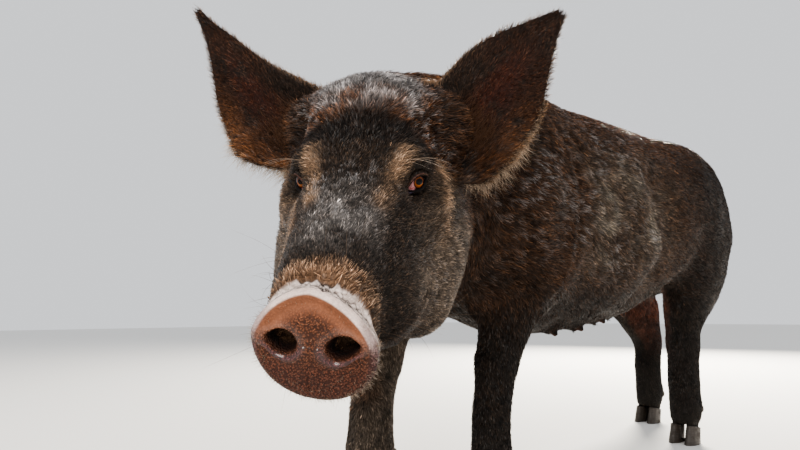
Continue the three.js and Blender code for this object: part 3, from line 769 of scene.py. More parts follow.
local = shape_snout()
wide = disc_reach(local[:, 0], local[:, 2])
refine(skin, (wide < 1.35) & (local[:, 1] > -0.034) & (local[:, 1] < 0.02))
local = shape_snout()
wide = disc_reach(local[:, 0], local[:, 2])
rear = np.where(local[:, 2] > 0.004, -0.024, -0.009)
refine(skin, (wide < 1.25) & (local[:, 1] > rear) & (local[:, 1] < 0.02))
local = shape_snout()
near = (disc_reach(local[:, 0], local[:, 2]) < 1.4) & (local[:, 1] > -0.04) & (local[:, 1] < 0.02)
points = points_of(skin.data)
points = relaxed(points, edges_of(skin.data), near * 1.0, 3)
put_points(skin.data, points)
local = shape_snout()
on_face = near & (local[:, 1] > -0.008)
local[on_face, 1] += snout_relief(local[on_face])
points = from_snout(local)
put_points(skin.data, points)
points[near] += normals_of(skin.data)[near] * rim_folds(local[near])[:, None]
put_points(skin.data, points)
print("snout done:", len(skin.data.vertices), "points,", int(near.sum()), "near the snout")

# %% [markdown]
# ## The eyes
# Each eye is a ball set deep under the brow. Its lids lie on the ball, with a thick dark edge, a fold above
# and bags below, and the opening is an almond that slants up and out. The lids are modelled as a height
# over the ball, so that they can't leave a gap beside it.

# %% Lids
LID_TURN = math.radians(46)
CORNER_IN, CORNER_OUT = np.array([-0.0118, -0.0055]), np.array([0.0116, 0.0022])
LID_TOP, LID_FOOT = 0.0090, 0.0042
EYE_SIGNS = {"left": 1, "right": -1}


def eye_axes(side):
    """Middle of the ball, and the ways outward along the lids, up and out of the head."""
    sign = EYE_SIGNS[side]
    ball = from_head(sign * EYE_SIDE, -EYE_BACK, -EYE_DROP)
    across = along_head(sign * math.cos(LID_TURN), -math.sin(LID_TURN), 0)
    out = along_head(sign * math.sin(LID_TURN), math.cos(LID_TURN), 0)
    return ball, np.stack([across, along_head(0, 0, 1), out])


def eye_places(points):
    """For each eye: its side, its ball and axes, and the points counted from the ball along those axes."""
    for side in EYE_SIGNS:
        ball, axes = eye_axes(side)
        yield side, ball, axes, (points - ball) @ axes.T


def lid_outline():
    """The almond between the lids, corner to corner and back."""
    middle, half = (CORNER_IN + CORNER_OUT) / 2, np.linalg.norm(CORNER_OUT - CORNER_IN) / 2
    way = (CORNER_OUT - CORNER_IN) / (2 * half)
    square = np.array([-way[1], way[0]])
    s = -np.cos(np.linspace(0, math.pi, 90))
    upper = LID_TOP * (1 - s**2) ** 0.72
    lower = -LID_FOOT * (1 - s**2) ** 0.8
    s = np.concatenate([s, s[-2:0:-1]])
    w = np.concatenate([upper, lower[-2:0:-1]])
    return middle + np.outer(s * half, way) + np.outer(w, square), middle, half, way, square


def beyond_lids(flat):
    """Distance outside the almond, below zero inside it, and height above the line between its corners."""
    outline, middle, half, way, square = lid_outline()
    away = np.sqrt(((flat[:, None, :] - outline[None]) ** 2).sum(2)).min(1)
    s = (flat - middle) @ way / half
    w = (flat - middle) @ square
    room = np.maximum(1 - s**2, 0)
    inside = (np.abs(s) < 1) & (w < LID_TOP * room**0.72) & (w > -LID_FOOT * room**0.8)
    return np.where(inside, -away, away), w


def lid_height(flat, skin_height):
    beyond, w = beyond_lids(flat)
    upper = fade(w, -0.001, 0.002)
    rise = 0.0004 + 0.0016 * fade(beyond, -0.0001, 0.0011)
    rise = np.where(beyond < 0, 0.0004 - 0.0085 * fade(-beyond, 0, 0.0016), rise)
    rise += upper * 0.0012 * peak(beyond - 0.0030, 0.0016)
    rise -= upper * 0.0013 * peak(beyond - 0.0054, 0.0008)
    rise += (1 - upper) * 0.0008 * peak(beyond - 0.0024, 0.0014)
    rise -= (1 - upper) * 0.0014 * peak(beyond - 0.0050, 0.0008)
    around = np.minimum((flat**2).sum(1), 0.0126**2)
    on_ball = np.sqrt(np.maximum((EYE_RADIUS + rise) ** 2 - around, 1e-8))
    blend = fade(beyond, 0.0035, 0.0125)
    return on_ball * (1 - blend) + skin_height * blend

# %% [markdown]
# ## Shaping the lids
# The squares round each eye are cut in four three times, in ever smaller rings, and then every point near
# the eye takes the height that the lids have there.

# %% Carve the lids
for reach in (0.027, 0.020, 0.0150):
    points = points_of(skin.data)
    chosen = np.zeros(len(points), bool)
    for _, _, _, local in eye_places(points):
        chosen |= (np.hypot(local[:, 0], local[:, 1]) < reach) & (local[:, 2] > -0.002)
    refine(skin, chosen)
points = points_of(skin.data)
for side, ball, axes, local in eye_places(points):
    near = (np.hypot(local[:, 0], local[:, 1]) < 0.034) & (local[:, 2] > -0.004)
    spot = local[near]
    beside = np.hypot(spot[:, 0], spot[:, 1]) > 0.02
    print(side, "skin height over the eye:", spot[beside][:, 2].mean().round(4))
    spot[:, 2] = lid_height(spot[:, :2], spot[:, 2])
    points[near] = ball + spot @ axes
put_points(skin.data, points)
print("lids done:", len(points), "points")

# %% [markdown]
# ## The face and ears
# The mouth is a long closed slit low on the jaw. A groove runs down from the inner corner of each eye,
# the brow wrinkles above it, and the cheekbone stands out below. Inside the ears run low ridges of
# gristle. Grooves and bumps in the head's own axes keep both halves of the face alike.

# %% Face and ear relief
# two wrinkles of the brow, the groove below the inner corner of the eye and the fold under its outer corner
FACE_FOLDS = (
    (((0.040, 0.002, 0.018), (0.050, -0.008, 0.021), (0.062, -0.020, 0.020)), 0.0022, 0.0018, 0.0008),
    (((0.036, -0.004, 0.025), (0.048, -0.016, 0.029), (0.062, -0.032, 0.028)), 0.0026, 0.0020, 0.0008),
    (((0.045, 0.010, -0.006), (0.043, 0.030, -0.020), (0.042, 0.055, -0.034)), 0.0045, 0.0032, 0.0010),
    (((0.056, 0.010, -0.018), (0.066, 0.002, -0.022), (0.076, -0.016, -0.022)), 0.0022, 0.0016, 0.0007),
)
# the brow, the cheekbone and the hollow of the temple
FACE_SWELLINGS = (
    ((0.046, -0.010, 0.020), (0.020, 0.018, 0.010), 0.0030),
    ((0.074, -0.020, -0.034), (0.018, 0.030, 0.016), 0.0035),
    ((0.090, -0.072, 0.040), (0.020, 0.034, 0.030), -0.015),
)


def face_relief(head):
    """How far the skin of the head stands out, in the head's axes, the same left and right."""
    mirrored = np.stack([np.abs(head[:, 0]), head[:, 1], head[:, 2]], axis=1)
    side, forward, up = mirrored.T
    slit = up + 0.083 - 0.07 * (forward - 0.10)
    mouth = fade(forward, 0.050, 0.070) * fade(side, 0.012, 0.026) * fade(forward, 0.205, 0.19)
    rise = mouth * (0.0016 * peak(slit + 0.0055, 0.004) - 0.0034 * peak(slit, 0.0016))
    for fold in FACE_FOLDS:
        rise += groove(mirrored, *fold)
    for swelling in FACE_SWELLINGS:
        rise += bump(mirrored, *swelling)
    for at in (0.150, 0.159, 0.168):
        wrinkle = forward - at + 0.10 * np.maximum(side - 0.02, 0)
        rise -= 0.0011 * peak(wrinkle, 0.0014) * fade(side, 0.018, 0.035) * fade(up, -0.085, -0.07)
    calm = fade(forward, 0.175, 0.16)
    return rise + calm * 0.0013 * (clouds(head, 0.016, 5) - 0.5)


def ear_relief(points):
    rise = np.zeros(len(points))
    for _, along, v, _, hollow in ear_places(points):
        for start, lean in ((-0.25, -0.6), (0.10, -1.6), (0.42, -2.6)):
            ridge = peak(v - start - lean * along, 0.06)
            rise += 0.0018 * hollow * ridge * fade(along, 0.005, 0.03) * fade(along, 0.16, 0.11)
    return rise


points = points_of(skin.data)
normals = normals_of(skin.data)
head = to_head(points)
on_head = fade(head[:, 1], -0.13, -0.08) * (points[:, 1] - GROUND[1] < -0.45) * (points[:, 2] > 0.14)
for _, _, _, local in eye_places(points):
    on_head *= fade(np.hypot(local[:, 0], local[:, 1]), 0.011, 0.020)
points += normals * (on_head * face_relief(head) + ear_relief(points))[:, None]
points[:, 2] = np.maximum(points[:, 2], 0.001)
put_points(skin.data, points)
mesh = skin.data
mesh.calc_loop_triangles()
print("skin:", len(mesh.vertices), "points,", len(mesh.loop_triangles), "triangles")

# %% [markdown]
# ## Eyeballs
# The ball bulges a little at the cornea. The pupil of a pig is a blunt oval lying level. Every point
# keeps its place beside the line of sight, so that the iris and pupil can be painted round that line,
# which stays sharp at any distance where a picture of an eye would not.

# %% Eyeballs
SIGHT = {"left": (-0.0008, 0.0015, 0.0129), "right": (-0.0056, 0.0028, 0.0114)}
CORNEA_HALF, CORNEA_RISE = 0.56, 0.0009


def eyeball(side):
    ball, axes = eye_axes(side)
    bpy.ops.mesh.primitive_uv_sphere_add(segments=56, ring_count=40, radius=EYE_RADIUS)
    piece = bpy.context.object
    piece.name = piece.data.name = f"eyeball_{side}"
    local = points_of(piece.data)
    off_sight = np.arccos(np.clip(local[:, 2] / EYE_RADIUS, -1, 1))
    bulge = CORNEA_RISE * np.maximum(1 - (off_sight / CORNEA_HALF) ** 2, 0) ** 1.2
    local *= 1 + (bulge / EYE_RADIUS)[:, None]
    ahead = np.array(SIGHT[side]) / np.linalg.norm(SIGHT[side])
    across = np.cross((0, 1, 0), ahead)
    across /= np.linalg.norm(across)
    turn = np.stack([across, np.cross(ahead, across), ahead])
    in_lids = local @ turn
    put_points(piece.data, ball + in_lids @ axes)
    sight = piece.data.attributes.new("sight", "FLOAT_VECTOR", "POINT")
    sight.data.foreach_set("vector", (local * 1000).astype(np.float32).ravel())
    lids = piece.data.attributes.new("lids", "FLOAT_VECTOR", "POINT")
    lids.data.foreach_set("vector", (in_lids * 1000).astype(np.float32).ravel())
    edit(piece)
    bpy.ops.mesh.normals_make_consistent(inside=False)
    done()
    activate(piece)
    bpy.ops.object.shade_smooth()
    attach(piece, "root")
    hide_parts(f"eye_{side}")
    return piece


eyeballs = [eyeball(side) for side in EYE_SIGNS]

# %% [markdown]
# ## Hooves
# Each foot stands on two hooves and has two small dewclaws behind. Horn grows down from the skin in rings
# and wears at the edges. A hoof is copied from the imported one, which keeps its place and size, rounded by
# a fine remesh and given faint rings. A dewclaw is too small for that, so it is a blunt cone rooted in
# the leg, pointing back and down.

# %% Hooves and dewclaws
DEWCLAW_WAY = np.array([0, 0.62, -0.78])


def rings_of_horn(piece, inset):
    points = points_of(piece.data)
    rings = 0.00035 * np.sin(points[:, 2] * 1250 + 3 * clouds(points, 0.02, 8))
    rings += 0.0008 * (clouds(points, 0.008, 9) - 0.5)
    points += normals_of(piece.data) * (rings - inset)[:, None]
    points[:, 2] = np.maximum(points[:, 2], 0)
    put_points(piece.data, points)


def hoof(node):
    piece = node_copy(node, node + "_horn")
    activate(piece)
    piece.data.remesh_voxel_size = 0.0018
    bpy.ops.object.voxel_remesh()
    points = relaxed(points_of(piece.data), edges_of(piece.data), np.ones(len(piece.data.vertices)), 7)
    put_points(piece.data, points)
    rings_of_horn(piece, 0.0003)
    return piece


def dewclaw(node):
    bpy.ops.mesh.primitive_uv_sphere_add(segments=28, ring_count=22, radius=1)
    piece = bpy.context.object
    piece.name = node + "_horn"
    unit_ball = points_of(piece.data)
    taper = 1 - 0.30 * (unit_ball[:, 2] + 1) / 2
    sizes = np.stack([0.0088 * taper, 0.0080 * taper, 0.0130 * np.ones(len(taper))], axis=1)
    flat = unit_ball * sizes
    across = np.array([1.0, 0, 0])
    turn = np.stack([across, np.cross(DEWCLAW_WAY, across), DEWCLAW_WAY])
    middle = np.mean(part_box(node), axis=0) - (0, 0.006, -0.001)
    put_points(piece.data, middle + flat @ turn)
    rings_of_horn(piece, 0.0)
    return piece


horn = joined([hoof(node) for node in HOOVES] + [dewclaw(node) for node in DEWCLAWS], "horn")
edit(horn)
bpy.ops.mesh.normals_make_consistent(inside=False)
done()
activate(horn)
bpy.ops.object.shade_smooth()
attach(horn, "root")
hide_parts(*HORN)
print("horn:", len(horn.data.polygons), "faces")

# %% [markdown]
# ## Markings
# The animal is red-brown, darker on the legs and the face, greyed by dried mud, with tan marks beside the
# eyes, a naked flesh-coloured snout and dark red ears inside. Markings could be painted on an image, but
# one function that gives the colour at any place serves both the skin, which keeps it on its points, and
# the coat, where every bristle takes the colour of its root. First come the tools: layers of colour laid
# over one another.

# %% Layers of colour
def blend(colours, colour, weight):
    return colours + (np.array(colour) - colours) * np.clip(weight, 0, 1)[:, None]


UNDER_HEAD = (0.11, 0.16)
# tan streaks on both sides of the head and on the right cheek: places along the middle, width and strength
TAN_STREAKS = (
    (
        ((0.050, -0.014, 0.030), (0.047, 0.006, 0.024), (0.038, 0.040, 0.012), (0.033, 0.062, 0.006)),
        0.0085, 0.95,
    ),
    (
        ((0.084, -0.040, 0.004), (0.090, -0.022, -0.014), (0.096, -0.008, -0.036), (0.097, 0.004, -0.060)),
        0.0095, 0.90,
    ),
)
RIGHT_STREAKS = (
    (((0.070, 0.020, -0.010), (0.060, 0.052, -0.012), (0.056, 0.080, -0.020)), 0.012, 0.85),
    (((0.078, 0.010, -0.035), (0.068, 0.055, -0.034), (0.060, 0.090, -0.042)), 0.012, 0.70),
)


def along_line(points, line, width):
    """1 on a line through a few places, fading away from it."""
    near = np.full(len(points), 1e9)
    for a, b in zip(np.array(line[:-1]), np.array(line[1:])):
        t = np.clip((points - a) @ (b - a) / ((b - a) ** 2).sum(), 0, 1)
        near = np.minimum(near, ((points - a - np.outer(t, b - a)) ** 2).sum(1))
    return np.exp(-near / width**2)


def layered(colours, tips, layers):
    """Paints layers over coat and tips. A layer is a weight and a colour for the coat, then for the tips."""
    for weight, colour, tip_weight, tip in layers:
        colours = blend(colours, colour, weight)
        tips = blend(tips, tip, tip_weight)
    return colours, tips


def head_share(points, behind, rear):
    """How much of a place is head: in front of a line across the neck and clear of the feet below."""
    head = to_head(points)
    _, y, z = (points - GROUND).T
    return fade(head[:, 1], *behind) * fade(y, *rear) * fade(z, *UNDER_HEAD)

# %% [markdown]
# ## Colours of the body
# A pig is darkest where mud cakes and on the far parts of the legs, and lightest where dried mud lies on
# the barrel. Each patch is a soft mask made from the place on the body and from which way the skin faces.

# %% Body markings
def body_markings(points, normals, mud, fine_mud, on_head):
    """Colours of coat and tips behind the head, painted one over the other."""
    x, y, z = (points - GROUND).T
    body = 1 - on_head
    # The top of the back, where the skin faces up, gets a lighter coat and orange tips: painted light of the
    # low sun rimming the back.
    back = fade(normals[:, 2], 0.2, 0.85) * body
    barrel = fade(y, -0.34, -0.20) * fade(y, 0.13, -0.02) * fade(z, 0.62, 0.48) * fade(z, 0.30, 0.38)
    front = fade(y, -0.54, -0.44) * fade(y, -0.20, -0.28) * fade(z, 0.26, 0.36)
    shoulder = fade(y, -0.52, -0.40) * fade(y, -0.22, -0.33) * fade(z, 0.36, 0.48)
    behind = fade(y, 0.06, 0.26)
    low = fade(z, 0.37, 0.22) * body
    # The far foreleg is grey-brown with mud and painted lighter to make up for its shade: mud and painted
    # light.
    far_shin_mud_and_painted_light = fade(x, -0.01, -0.04) * fade(y, -0.28, -0.36) * fade(z, 0.34, 0.28)
    # The breast is painted a lighter red-brown to make up for the shadow of the head: painted light.
    breast_painted_light = fade(y, -0.36, -0.44) * fade(z, 0.27, 0.32) * fade(z, 0.42, 0.36) * fade(x, 0.12, 0.06) * body
    caked = fade(z, 0.17, 0.06) * fade(clouds(points, 0.03, 14), 0.35, 0.6) * body
    inner = fade(-normals[:, 0] * np.sign(x), 0.1, 0.9) * fade(y, 0.06, 0.22)
    inner *= fade(z, 0.15, 0.30) * fade(np.abs(x), 0.15, 0.09) * fade(z, 0.48, 0.36)
    inner *= 0.45 + 0.55 * fade(clouds(points, 0.03, 17), 0.35, 0.6)
    # The underside, where the skin faces down, is painted darker: painted shade.
    belly = fade(-normals[:, 2], 0.35, 0.8) * body * fade(z, 0.2, 0.24) * fade(z, 0.36, 0.32)
    teat = np.min([np.hypot(np.abs(x) - TEAT_ASIDE, y - row) for row in TEAT_ROWS], axis=0)
    on_teat = belly * fade(teat, 0.011, 0.006)
    none = np.zeros(len(points))
    spotted = (0.25 + 0.60 * fine_mud) * barrel * (0.35 + 0.65 * mud)
    return layered(
        np.tile((0.040, 0.0185, 0.0085), (len(points), 1)),
        np.tile((0.115, 0.047, 0.018), (len(points), 1)),
        (
            # painted light on the top of the back
            (0.75 * back, (0.060, 0.025, 0.011), 0.8 * back, (0.30, 0.120, 0.042)),
            (spotted, (0.180, 0.153, 0.118), 0.65 * barrel * (0.3 + 0.7 * mud), (0.270, 0.215, 0.160)),
            (0.75 * front, (0.053, 0.0250, 0.0120), 0.75 * front, (0.155, 0.070, 0.0315)),
            (0.5 * shoulder * mud * fine_mud, (0.060, 0.046, 0.034), none, (0, 0, 0)),
            (
                0.90 * behind * (1 - 0.8 * back), (0.0100, 0.0062, 0.0042),
                0.90 * behind * (1 - 0.7 * back), (0.028, 0.016, 0.010),
            ),
            (0.9 * low, (0.0120, 0.0082, 0.0056), 0.9 * low, (0.036, 0.023, 0.015)),
            # far foreleg: mud colour, lightened as painted light
            (0.8 * far_shin_mud_and_painted_light, (0.160, 0.120, 0.088), 0.8 * far_shin_mud_and_painted_light, (0.320, 0.240, 0.180)),
            # painted light on the breast
            (0.7 * breast_painted_light, (0.200, 0.088, 0.044), 0.7 * breast_painted_light, (0.360, 0.165, 0.082)),
            (0.5 * caked, (0.022, 0.018, 0.014), 0.6 * caked, (0.045, 0.036, 0.028)),
            (0.9 * inner, (0.165, 0.054, 0.030), 0.9 * inner, (0.210, 0.074, 0.042)),
            # painted shade on the underside
            (0.8 * belly, (0.022, 0.012, 0.0065), 0.8 * belly, (0.042, 0.022, 0.012)),
            (on_teat, (0.095, 0.045, 0.030), none, (0, 0, 0)),
        ),
    )

# %% [markdown]
# ## Colours of the face
# A band of painted shade lies dark across the poll, and the crest behind it is grey with rubbed mud and
# painted sunlit sheen. Tan streaks frame the eyes, the bridge of the nose is grey with mud and painted sheen,
# and a fringe of gold hair, with painted light on its tips, ends above the snout. The masks use the head's
# axes.

# %% Face markings
def face_markings(points, mud, fine_mud):
    """Colours of coat and tips on the head, painted one over the other."""
    head = to_head(points)
    side, forward, up = np.abs(head[:, 0]), head[:, 1], head[:, 2]
    edge = forward + 0.012 * (clouds(points, 0.022, 18) - 0.5)
    # A dark band across the poll, where the brow faces away from the low sun: painted shade.
    poll_shade = fade(edge, -0.012, -0.026) * fade(edge, -0.066, -0.052) * fade(side, 0.12, 0.07)
    # The crest behind the poll is grey with rubbed mud, and made paler still as painted sunlit sheen.
    crest = fade(edge, -0.047, -0.064) * fade(side, 0.080, 0.050) * fade(up, 0.050, 0.066)
    rust = fade(edge, -0.040, -0.054) * np.maximum(fade(edge, -0.084, -0.066), fade(side, 0.046, 0.070))
    rust *= 1 - 0.6 * fine_mud
    temple = fade(side, 0.062, 0.082) * fade(forward, -0.040, -0.060)
    bridge = fade(side, 0.050, 0.016) * fade(forward, 0.020, 0.060) * fade(forward, 0.155, 0.095)
    cheek = fade(side, 0.055, 0.085) * fade(forward, -0.09, -0.02) * fade(up, 0.01, -0.03)
    jowl = fade(side, 0.050, 0.080) * fade(up, -0.050, -0.085)
    jowl *= fade(forward, -0.09, -0.03) * fade(forward, 0.12, 0.08)
    tan = np.zeros(len(points))
    for across, streaks in ((side, TAN_STREAKS), (-head[:, 0], RIGHT_STREAKS)):
        for line, width, strength in streaks:
            tan = np.maximum(tan, strength * along_line(np.stack([across, forward, up], axis=1), line, width))
    tan *= 0.40 + 0.60 * fine_mud
    # The fringe above the snout is gold hair, and its pale tips are partly painted light.
    fringe = fade(forward, 0.144, 0.160) * fade(up, -0.075, -0.045)
    central = fade(side, 0.050, 0.020)
    lip = fade(up, -0.075, -0.095) * fade(forward, 0.05, 0.09)
    none = np.zeros(len(points))
    crest_mud_and_sheen = 0.85 * crest * (0.35 + 0.65 * fine_mud)
    # On the bridge of the nose: grey mud, and pale tips that are painted glints, a painted sheen of light.
    painted_glints_on_bridge = 0.8 * bridge * (0.4 + 0.6 * fine_mud)
    return layered(
        np.tile((0.026, 0.0165, 0.0105), (len(points), 1)),
        np.tile((0.096, 0.055, 0.033), (len(points), 1)),
        (
            (0.9 * poll_shade, (0.014, 0.009, 0.007), 0.8 * poll_shade, (0.050, 0.028, 0.017)),
            (crest * (0.3 + 0.6 * fine_mud), (0.360, 0.328, 0.315), crest_mud_and_sheen, (0.82, 0.77, 0.74)),
            (0.6 * rust, (0.095, 0.038, 0.016), 0.75 * rust, (0.44, 0.170, 0.060)),
            (0.85 * temple, (0.024, 0.014, 0.009), 0.8 * temple, (0.150, 0.068, 0.032)),
            ((0.25 + 0.75 * fine_mud) * bridge, (0.190, 0.168, 0.154), painted_glints_on_bridge, (0.42, 0.39, 0.37)),
            ((0.4 + 0.5 * mud) * cheek, (0.085, 0.060, 0.042), 0.65 * cheek, (0.250, 0.175, 0.115)),
            ((0.30 + 0.55 * fine_mud) * jowl, (0.190, 0.142, 0.104), 0.7 * jowl, (0.42, 0.32, 0.24)),
            (0.95 * tan, (0.360, 0.222, 0.135), tan, (0.70, 0.49, 0.32)),
            (
                (0.32 + 0.55 * central) * fringe, (0.300, 0.170, 0.100),
                (0.50 + 0.45 * central) * fringe, (0.90, 0.60, 0.39),
            ),
            (0.7 * lip, (0.045, 0.027, 0.018), none, (0, 0, 0)),
        ),
    )

# %% [markdown]
# ## All markings together
# Body, face and ears are blended where they meet. A broad change of tone over everything keeps large
# patches from looking flat, and small flecks, light ones that paint glints of wet shine on mud and dark
# ones, are kept for the bristles.

# %% Markings and grit
def markings(points, normals):
    """Colour of the coat and of its tips at places on the body."""
    mud = fade(clouds(points, 0.070, 11), 0.42, 0.66)
    fine_mud = fade(clouds(points, 0.018, 12), 0.40, 0.62)
    on_head = head_share(points, (-0.20, -0.12), (-0.50, -0.56))
    coat, tips = body_markings(points, normals, mud, fine_mud, on_head)
    face, face_tips = face_markings(points, mud, fine_mud)
    coat += (face - coat) * on_head[:, None]
    tips += (face_tips - tips) * on_head[:, None]
    for name, along, v, ear, hollow in ear_places(points):
        coat, tips = layered(coat, tips, ((ear, (0.026, 0.015, 0.010), ear, (0.075, 0.038, 0.021)),))
        # The lobe inside the right ear and the tips in its hollow are painted 1.7 times lighter: a painted
        # glow of light shining through the ear.
        painted_glow = 1.0 if name == "left" else 1.7
        inside = np.tile((0.036, 0.0155, 0.0085), (len(points), 1))
        middle = peak(v + 0.05, 0.42) * fade(along, 0.02, 0.06) * fade(along, 0.17, 0.11)
        inside = blend(inside, (0.056, 0.0150, 0.0080), 0.9 * middle)
        lobe = fade(v, 0.25, 0.85) * fade(along, 0.14, 0.05)
        inside = blend(inside, painted_glow * np.array((0.095, 0.038, 0.014)), 0.85 * lobe)
        inside = blend(inside, (0.010, 0.005, 0.004), fade(along, 0.065, 0.010) * fade(v, 0.45, 0.0))
        inside = blend(inside, (0.022, 0.015, 0.011), 0.85 * fade(clouds(points, 0.011, 15), 0.61, 0.67))
        coat += (inside - coat) * hollow[:, None]
        tips = blend(tips, painted_glow * np.array((0.115, 0.046, 0.021)), hollow)
        # Tips lighter along both edges of each ear: painted rim light on its outline.
        tips = blend(tips, (0.52, 0.30, 0.15), ear * fade(v, 0.82, 0.97) + ear * fade(v, -0.9, -1.0))
    tone = 0.66 + 0.68 * clouds(points, 0.026, 16)
    return coat * tone[:, None], tips * tone[:, None]


def grit(points):
    """Small flecks: light ones that paint glints of wet shine on mud, and dark ones: how light and how dark a
    place is made.
    """
    head = to_head(points)
    _, y, z = (points - GROUND).T
    side, forward, up = np.abs(head[:, 0]), head[:, 1], head[:, 2]
    on_head = head_share(points, (-0.20, -0.12), (-0.50, -0.56))
    fine, coarse = clouds(points, 0.0042, 51, 2), clouds(points, 0.0068, 52, 2)
    fleck = on_head * fine + (1 - on_head) * coarse
    patchy = 0.35 + 0.65 * fade(clouds(points, 0.045, 53), 0.40, 0.62)
    # shine says where the light flecks paint glints of wet shine: on the bridge, the crest, the cheeks, the
    # shoulder and the barrel.
    shine = 0.10 * np.ones(len(points))
    shine += 0.75 * fade(side, 0.060, 0.020) * fade(forward, 0.0, 0.04) * fade(forward, 0.15, 0.10) * on_head
    shine += 1.20 * fade(forward, -0.042, -0.060) * fade(side, 0.105, 0.065) * on_head
    shine += 0.60 * fade(side, 0.060, 0.080) * fade(up, -0.02, -0.05) * fade(forward, 0.13, 0.05) * on_head
    body = 1 - on_head
    shine += 0.75 * body * peak(y + 0.37, 0.11) * peak(z - 0.47, 0.10)
    shine += 0.60 * body * fade(y, -0.32, -0.22) * fade(y, 0.06, -0.04) * fade(z, 0.30, 0.38)
    light = fade(fleck, 0.56, 0.68) * np.clip(shine * patchy, 0, 1) * fade(z, 0.22, 0.34)
    dark = fade(fleck, 0.46, 0.32) * (0.55 + 0.45 * patchy)
    for _, _, _, ear, _ in ear_places(points):
        light = light * (1 - 0.9 * ear)
        dark = dark * (1 - 0.5 * ear)
    return light, dark

# %% [markdown]
# ## Colours of the snout and the lids
# The disc is naked: a pale worn upper rim, a smooth tan band below it and dark red-brown pebbles on the
# lower half. The edges of the lids are nearly black and moist. Both are painted in the axes in which they
# were shaped, so that colour and relief fall on the same places.

# %% Snout and lid colours
def snout_colour(colours, local):
    """The naked disc: pale worn rim, a smooth tan band under it, dark pebbled red-brown below."""
    across, forward, up = local.T
    reach = disc_reach(across, up)
    on_snout = fade(forward, -0.0205, -0.0175) * fade(reach, 1.5, 1.3)
    above = fade(up, -0.006, 0.012)
    skin_colour = np.tile((0.225, 0.088, 0.046), (len(local), 1))
    skin_colour = blend(skin_colour, (0.150, 0.055, 0.033), fade(up, 0.004, -0.026))
    band = above * fade(reach, 0.45, 0.78) * (forward > -0.012)
    around = np.stack([np.arctan2(across, up + 0.03) * 0.12, reach * 0.004, 0 * up], axis=1)
    streaks = clouds(around, 0.004, 22)
    skin_colour = blend(skin_colour, (0.335, 0.130, 0.066), band * (0.35 + 0.65 * streaks))
    middle = peak(across, 0.008) * peak(up - 0.002, 0.012)
    skin_colour = blend(skin_colour, (0.15, 0.055, 0.028), 0.6 * middle)
    edge = fade(reach, 0.92, 0.99) * (1 - above)
    skin_colour = blend(skin_colour, (0.120, 0.056, 0.042), 0.4 * edge)
    upper = above * np.maximum(fade(reach, 0.90, 0.95), fade(forward, -0.005, -0.008))
    skin_colour = blend(skin_colour, (1.0, 0.80, 0.71), upper * (0.72 + 0.28 * streaks))
    sides = fade(np.abs(across), 0.030, 0.044) * fade(reach, 0.88, 0.95) * (forward > -0.010)
    skin_colour = blend(skin_colour, (0.150, 0.085, 0.100), 0.55 * sides * fade(up, -0.030, 0.0))
    folded = above * fade(forward, -0.0075, -0.010)
    skin_colour = blend(skin_colour, (0.86, 0.72, 0.65), folded)
    grime = fade(clouds(local * (1, 2.2, 1), 0.003, 21), 0.44, 0.62)
    skin_colour = blend(skin_colour, (0.200, 0.140, 0.110), 0.55 * grime * folded)
    # Dark lines across the folded strip: painted shade in its creases.
    for at, waves, start in ((0.0098, 510, 0.4), (0.0122, 380, 2.0), (0.0140, 620, 0.0), (0.0158, 450, 1.1)):
        line = forward + at + 0.0007 * np.sin(across * waves + start) + 0.0005 * np.sin(across * waves * 2.7)
        crease = peak(line, 0.00032) * fade(clouds(local, 0.006, 23), 0.35, 0.50)
        skin_colour = blend(skin_colour, (0.030, 0.019, 0.014), 0.9 * crease * folded)
    # Nearly black where rim_folds carves the folds deepest: painted shade in the folds.
    dark = -rim_folds(local) / 0.0010
    skin_colour = blend(skin_colour, (0.014, 0.010, 0.008), 0.97 * np.clip(dark, 0, 1) * folded)
    for side in (1, -1):
        t = nostril_reach(local, side)
        ring = peak(t - 1.26, 0.16) * fade(up, 0.004, -0.006)
        skin_colour = blend(skin_colour, (0.15, 0.062, 0.085), 0.6 * ring)
        # The inside of each nostril is painted nearly black: painted shade in the pit.
        skin_colour = blend(skin_colour, (0.006, 0.003, 0.003), fade(t, 1.10, 0.80))
    under = fade(up, -0.034, -0.046) * fade(forward, -0.004, -0.014)
    skin_colour = blend(skin_colour, (0.040, 0.022, 0.016), under)
    weight = on_snout * np.maximum(above, fade(forward, -0.018, -0.011))
    return colours + (skin_colour - colours) * weight[:, None], weight


def lid_colour(colours, points):
    for _, _, _, local in eye_places(points):
        near = (np.hypot(local[:, 0], local[:, 1]) < 0.024) & (local[:, 2] > -0.004)
        flat = local[near][:, :2]
        beyond, w = beyond_lids(flat)
        spot = colours[near]
        upper = fade(w, -0.001, 0.003)
        spot = blend(spot, (0.034, 0.022, 0.016), 0.85 * fade(beyond, 0.0052, 0.0030))
        spot = blend(spot, (0.230, 0.105, 0.080), 0.8 * upper * peak(beyond - 0.0026, 0.0006))
        inner = fade(flat[:, 0], -0.006, -0.010) * fade(beyond, 0.0055, 0.001) * (1 - upper)
        spot = blend(spot, (0.085, 0.070, 0.125), 0.85 * inner)
        spot = blend(spot, (0.009, 0.006, 0.006), fade(beyond, 0.0020, 0.0009))
        colours[near] = spot
    return colours

# %% [markdown]
# ## Colours kept on the skin
# Each point of the skin keeps its colour and three numbers: how naked, how wet and how pebbled it is.
# Materials read them by name, and no image file is needed.

# %% Keep the colours
points = points_of(mesh)
normals = normals_of(mesh)
coat_tone, _ = markings(points, normals)
local = to_snout(points)
skin_tone, naked = snout_colour(coat_tone, local)
skin_tone = lid_colour(skin_tone, points)
wet = naked * np.max([peak(nostril_reach(local, side) - 1.3, 0.3) for side in (1, -1)], axis=0)


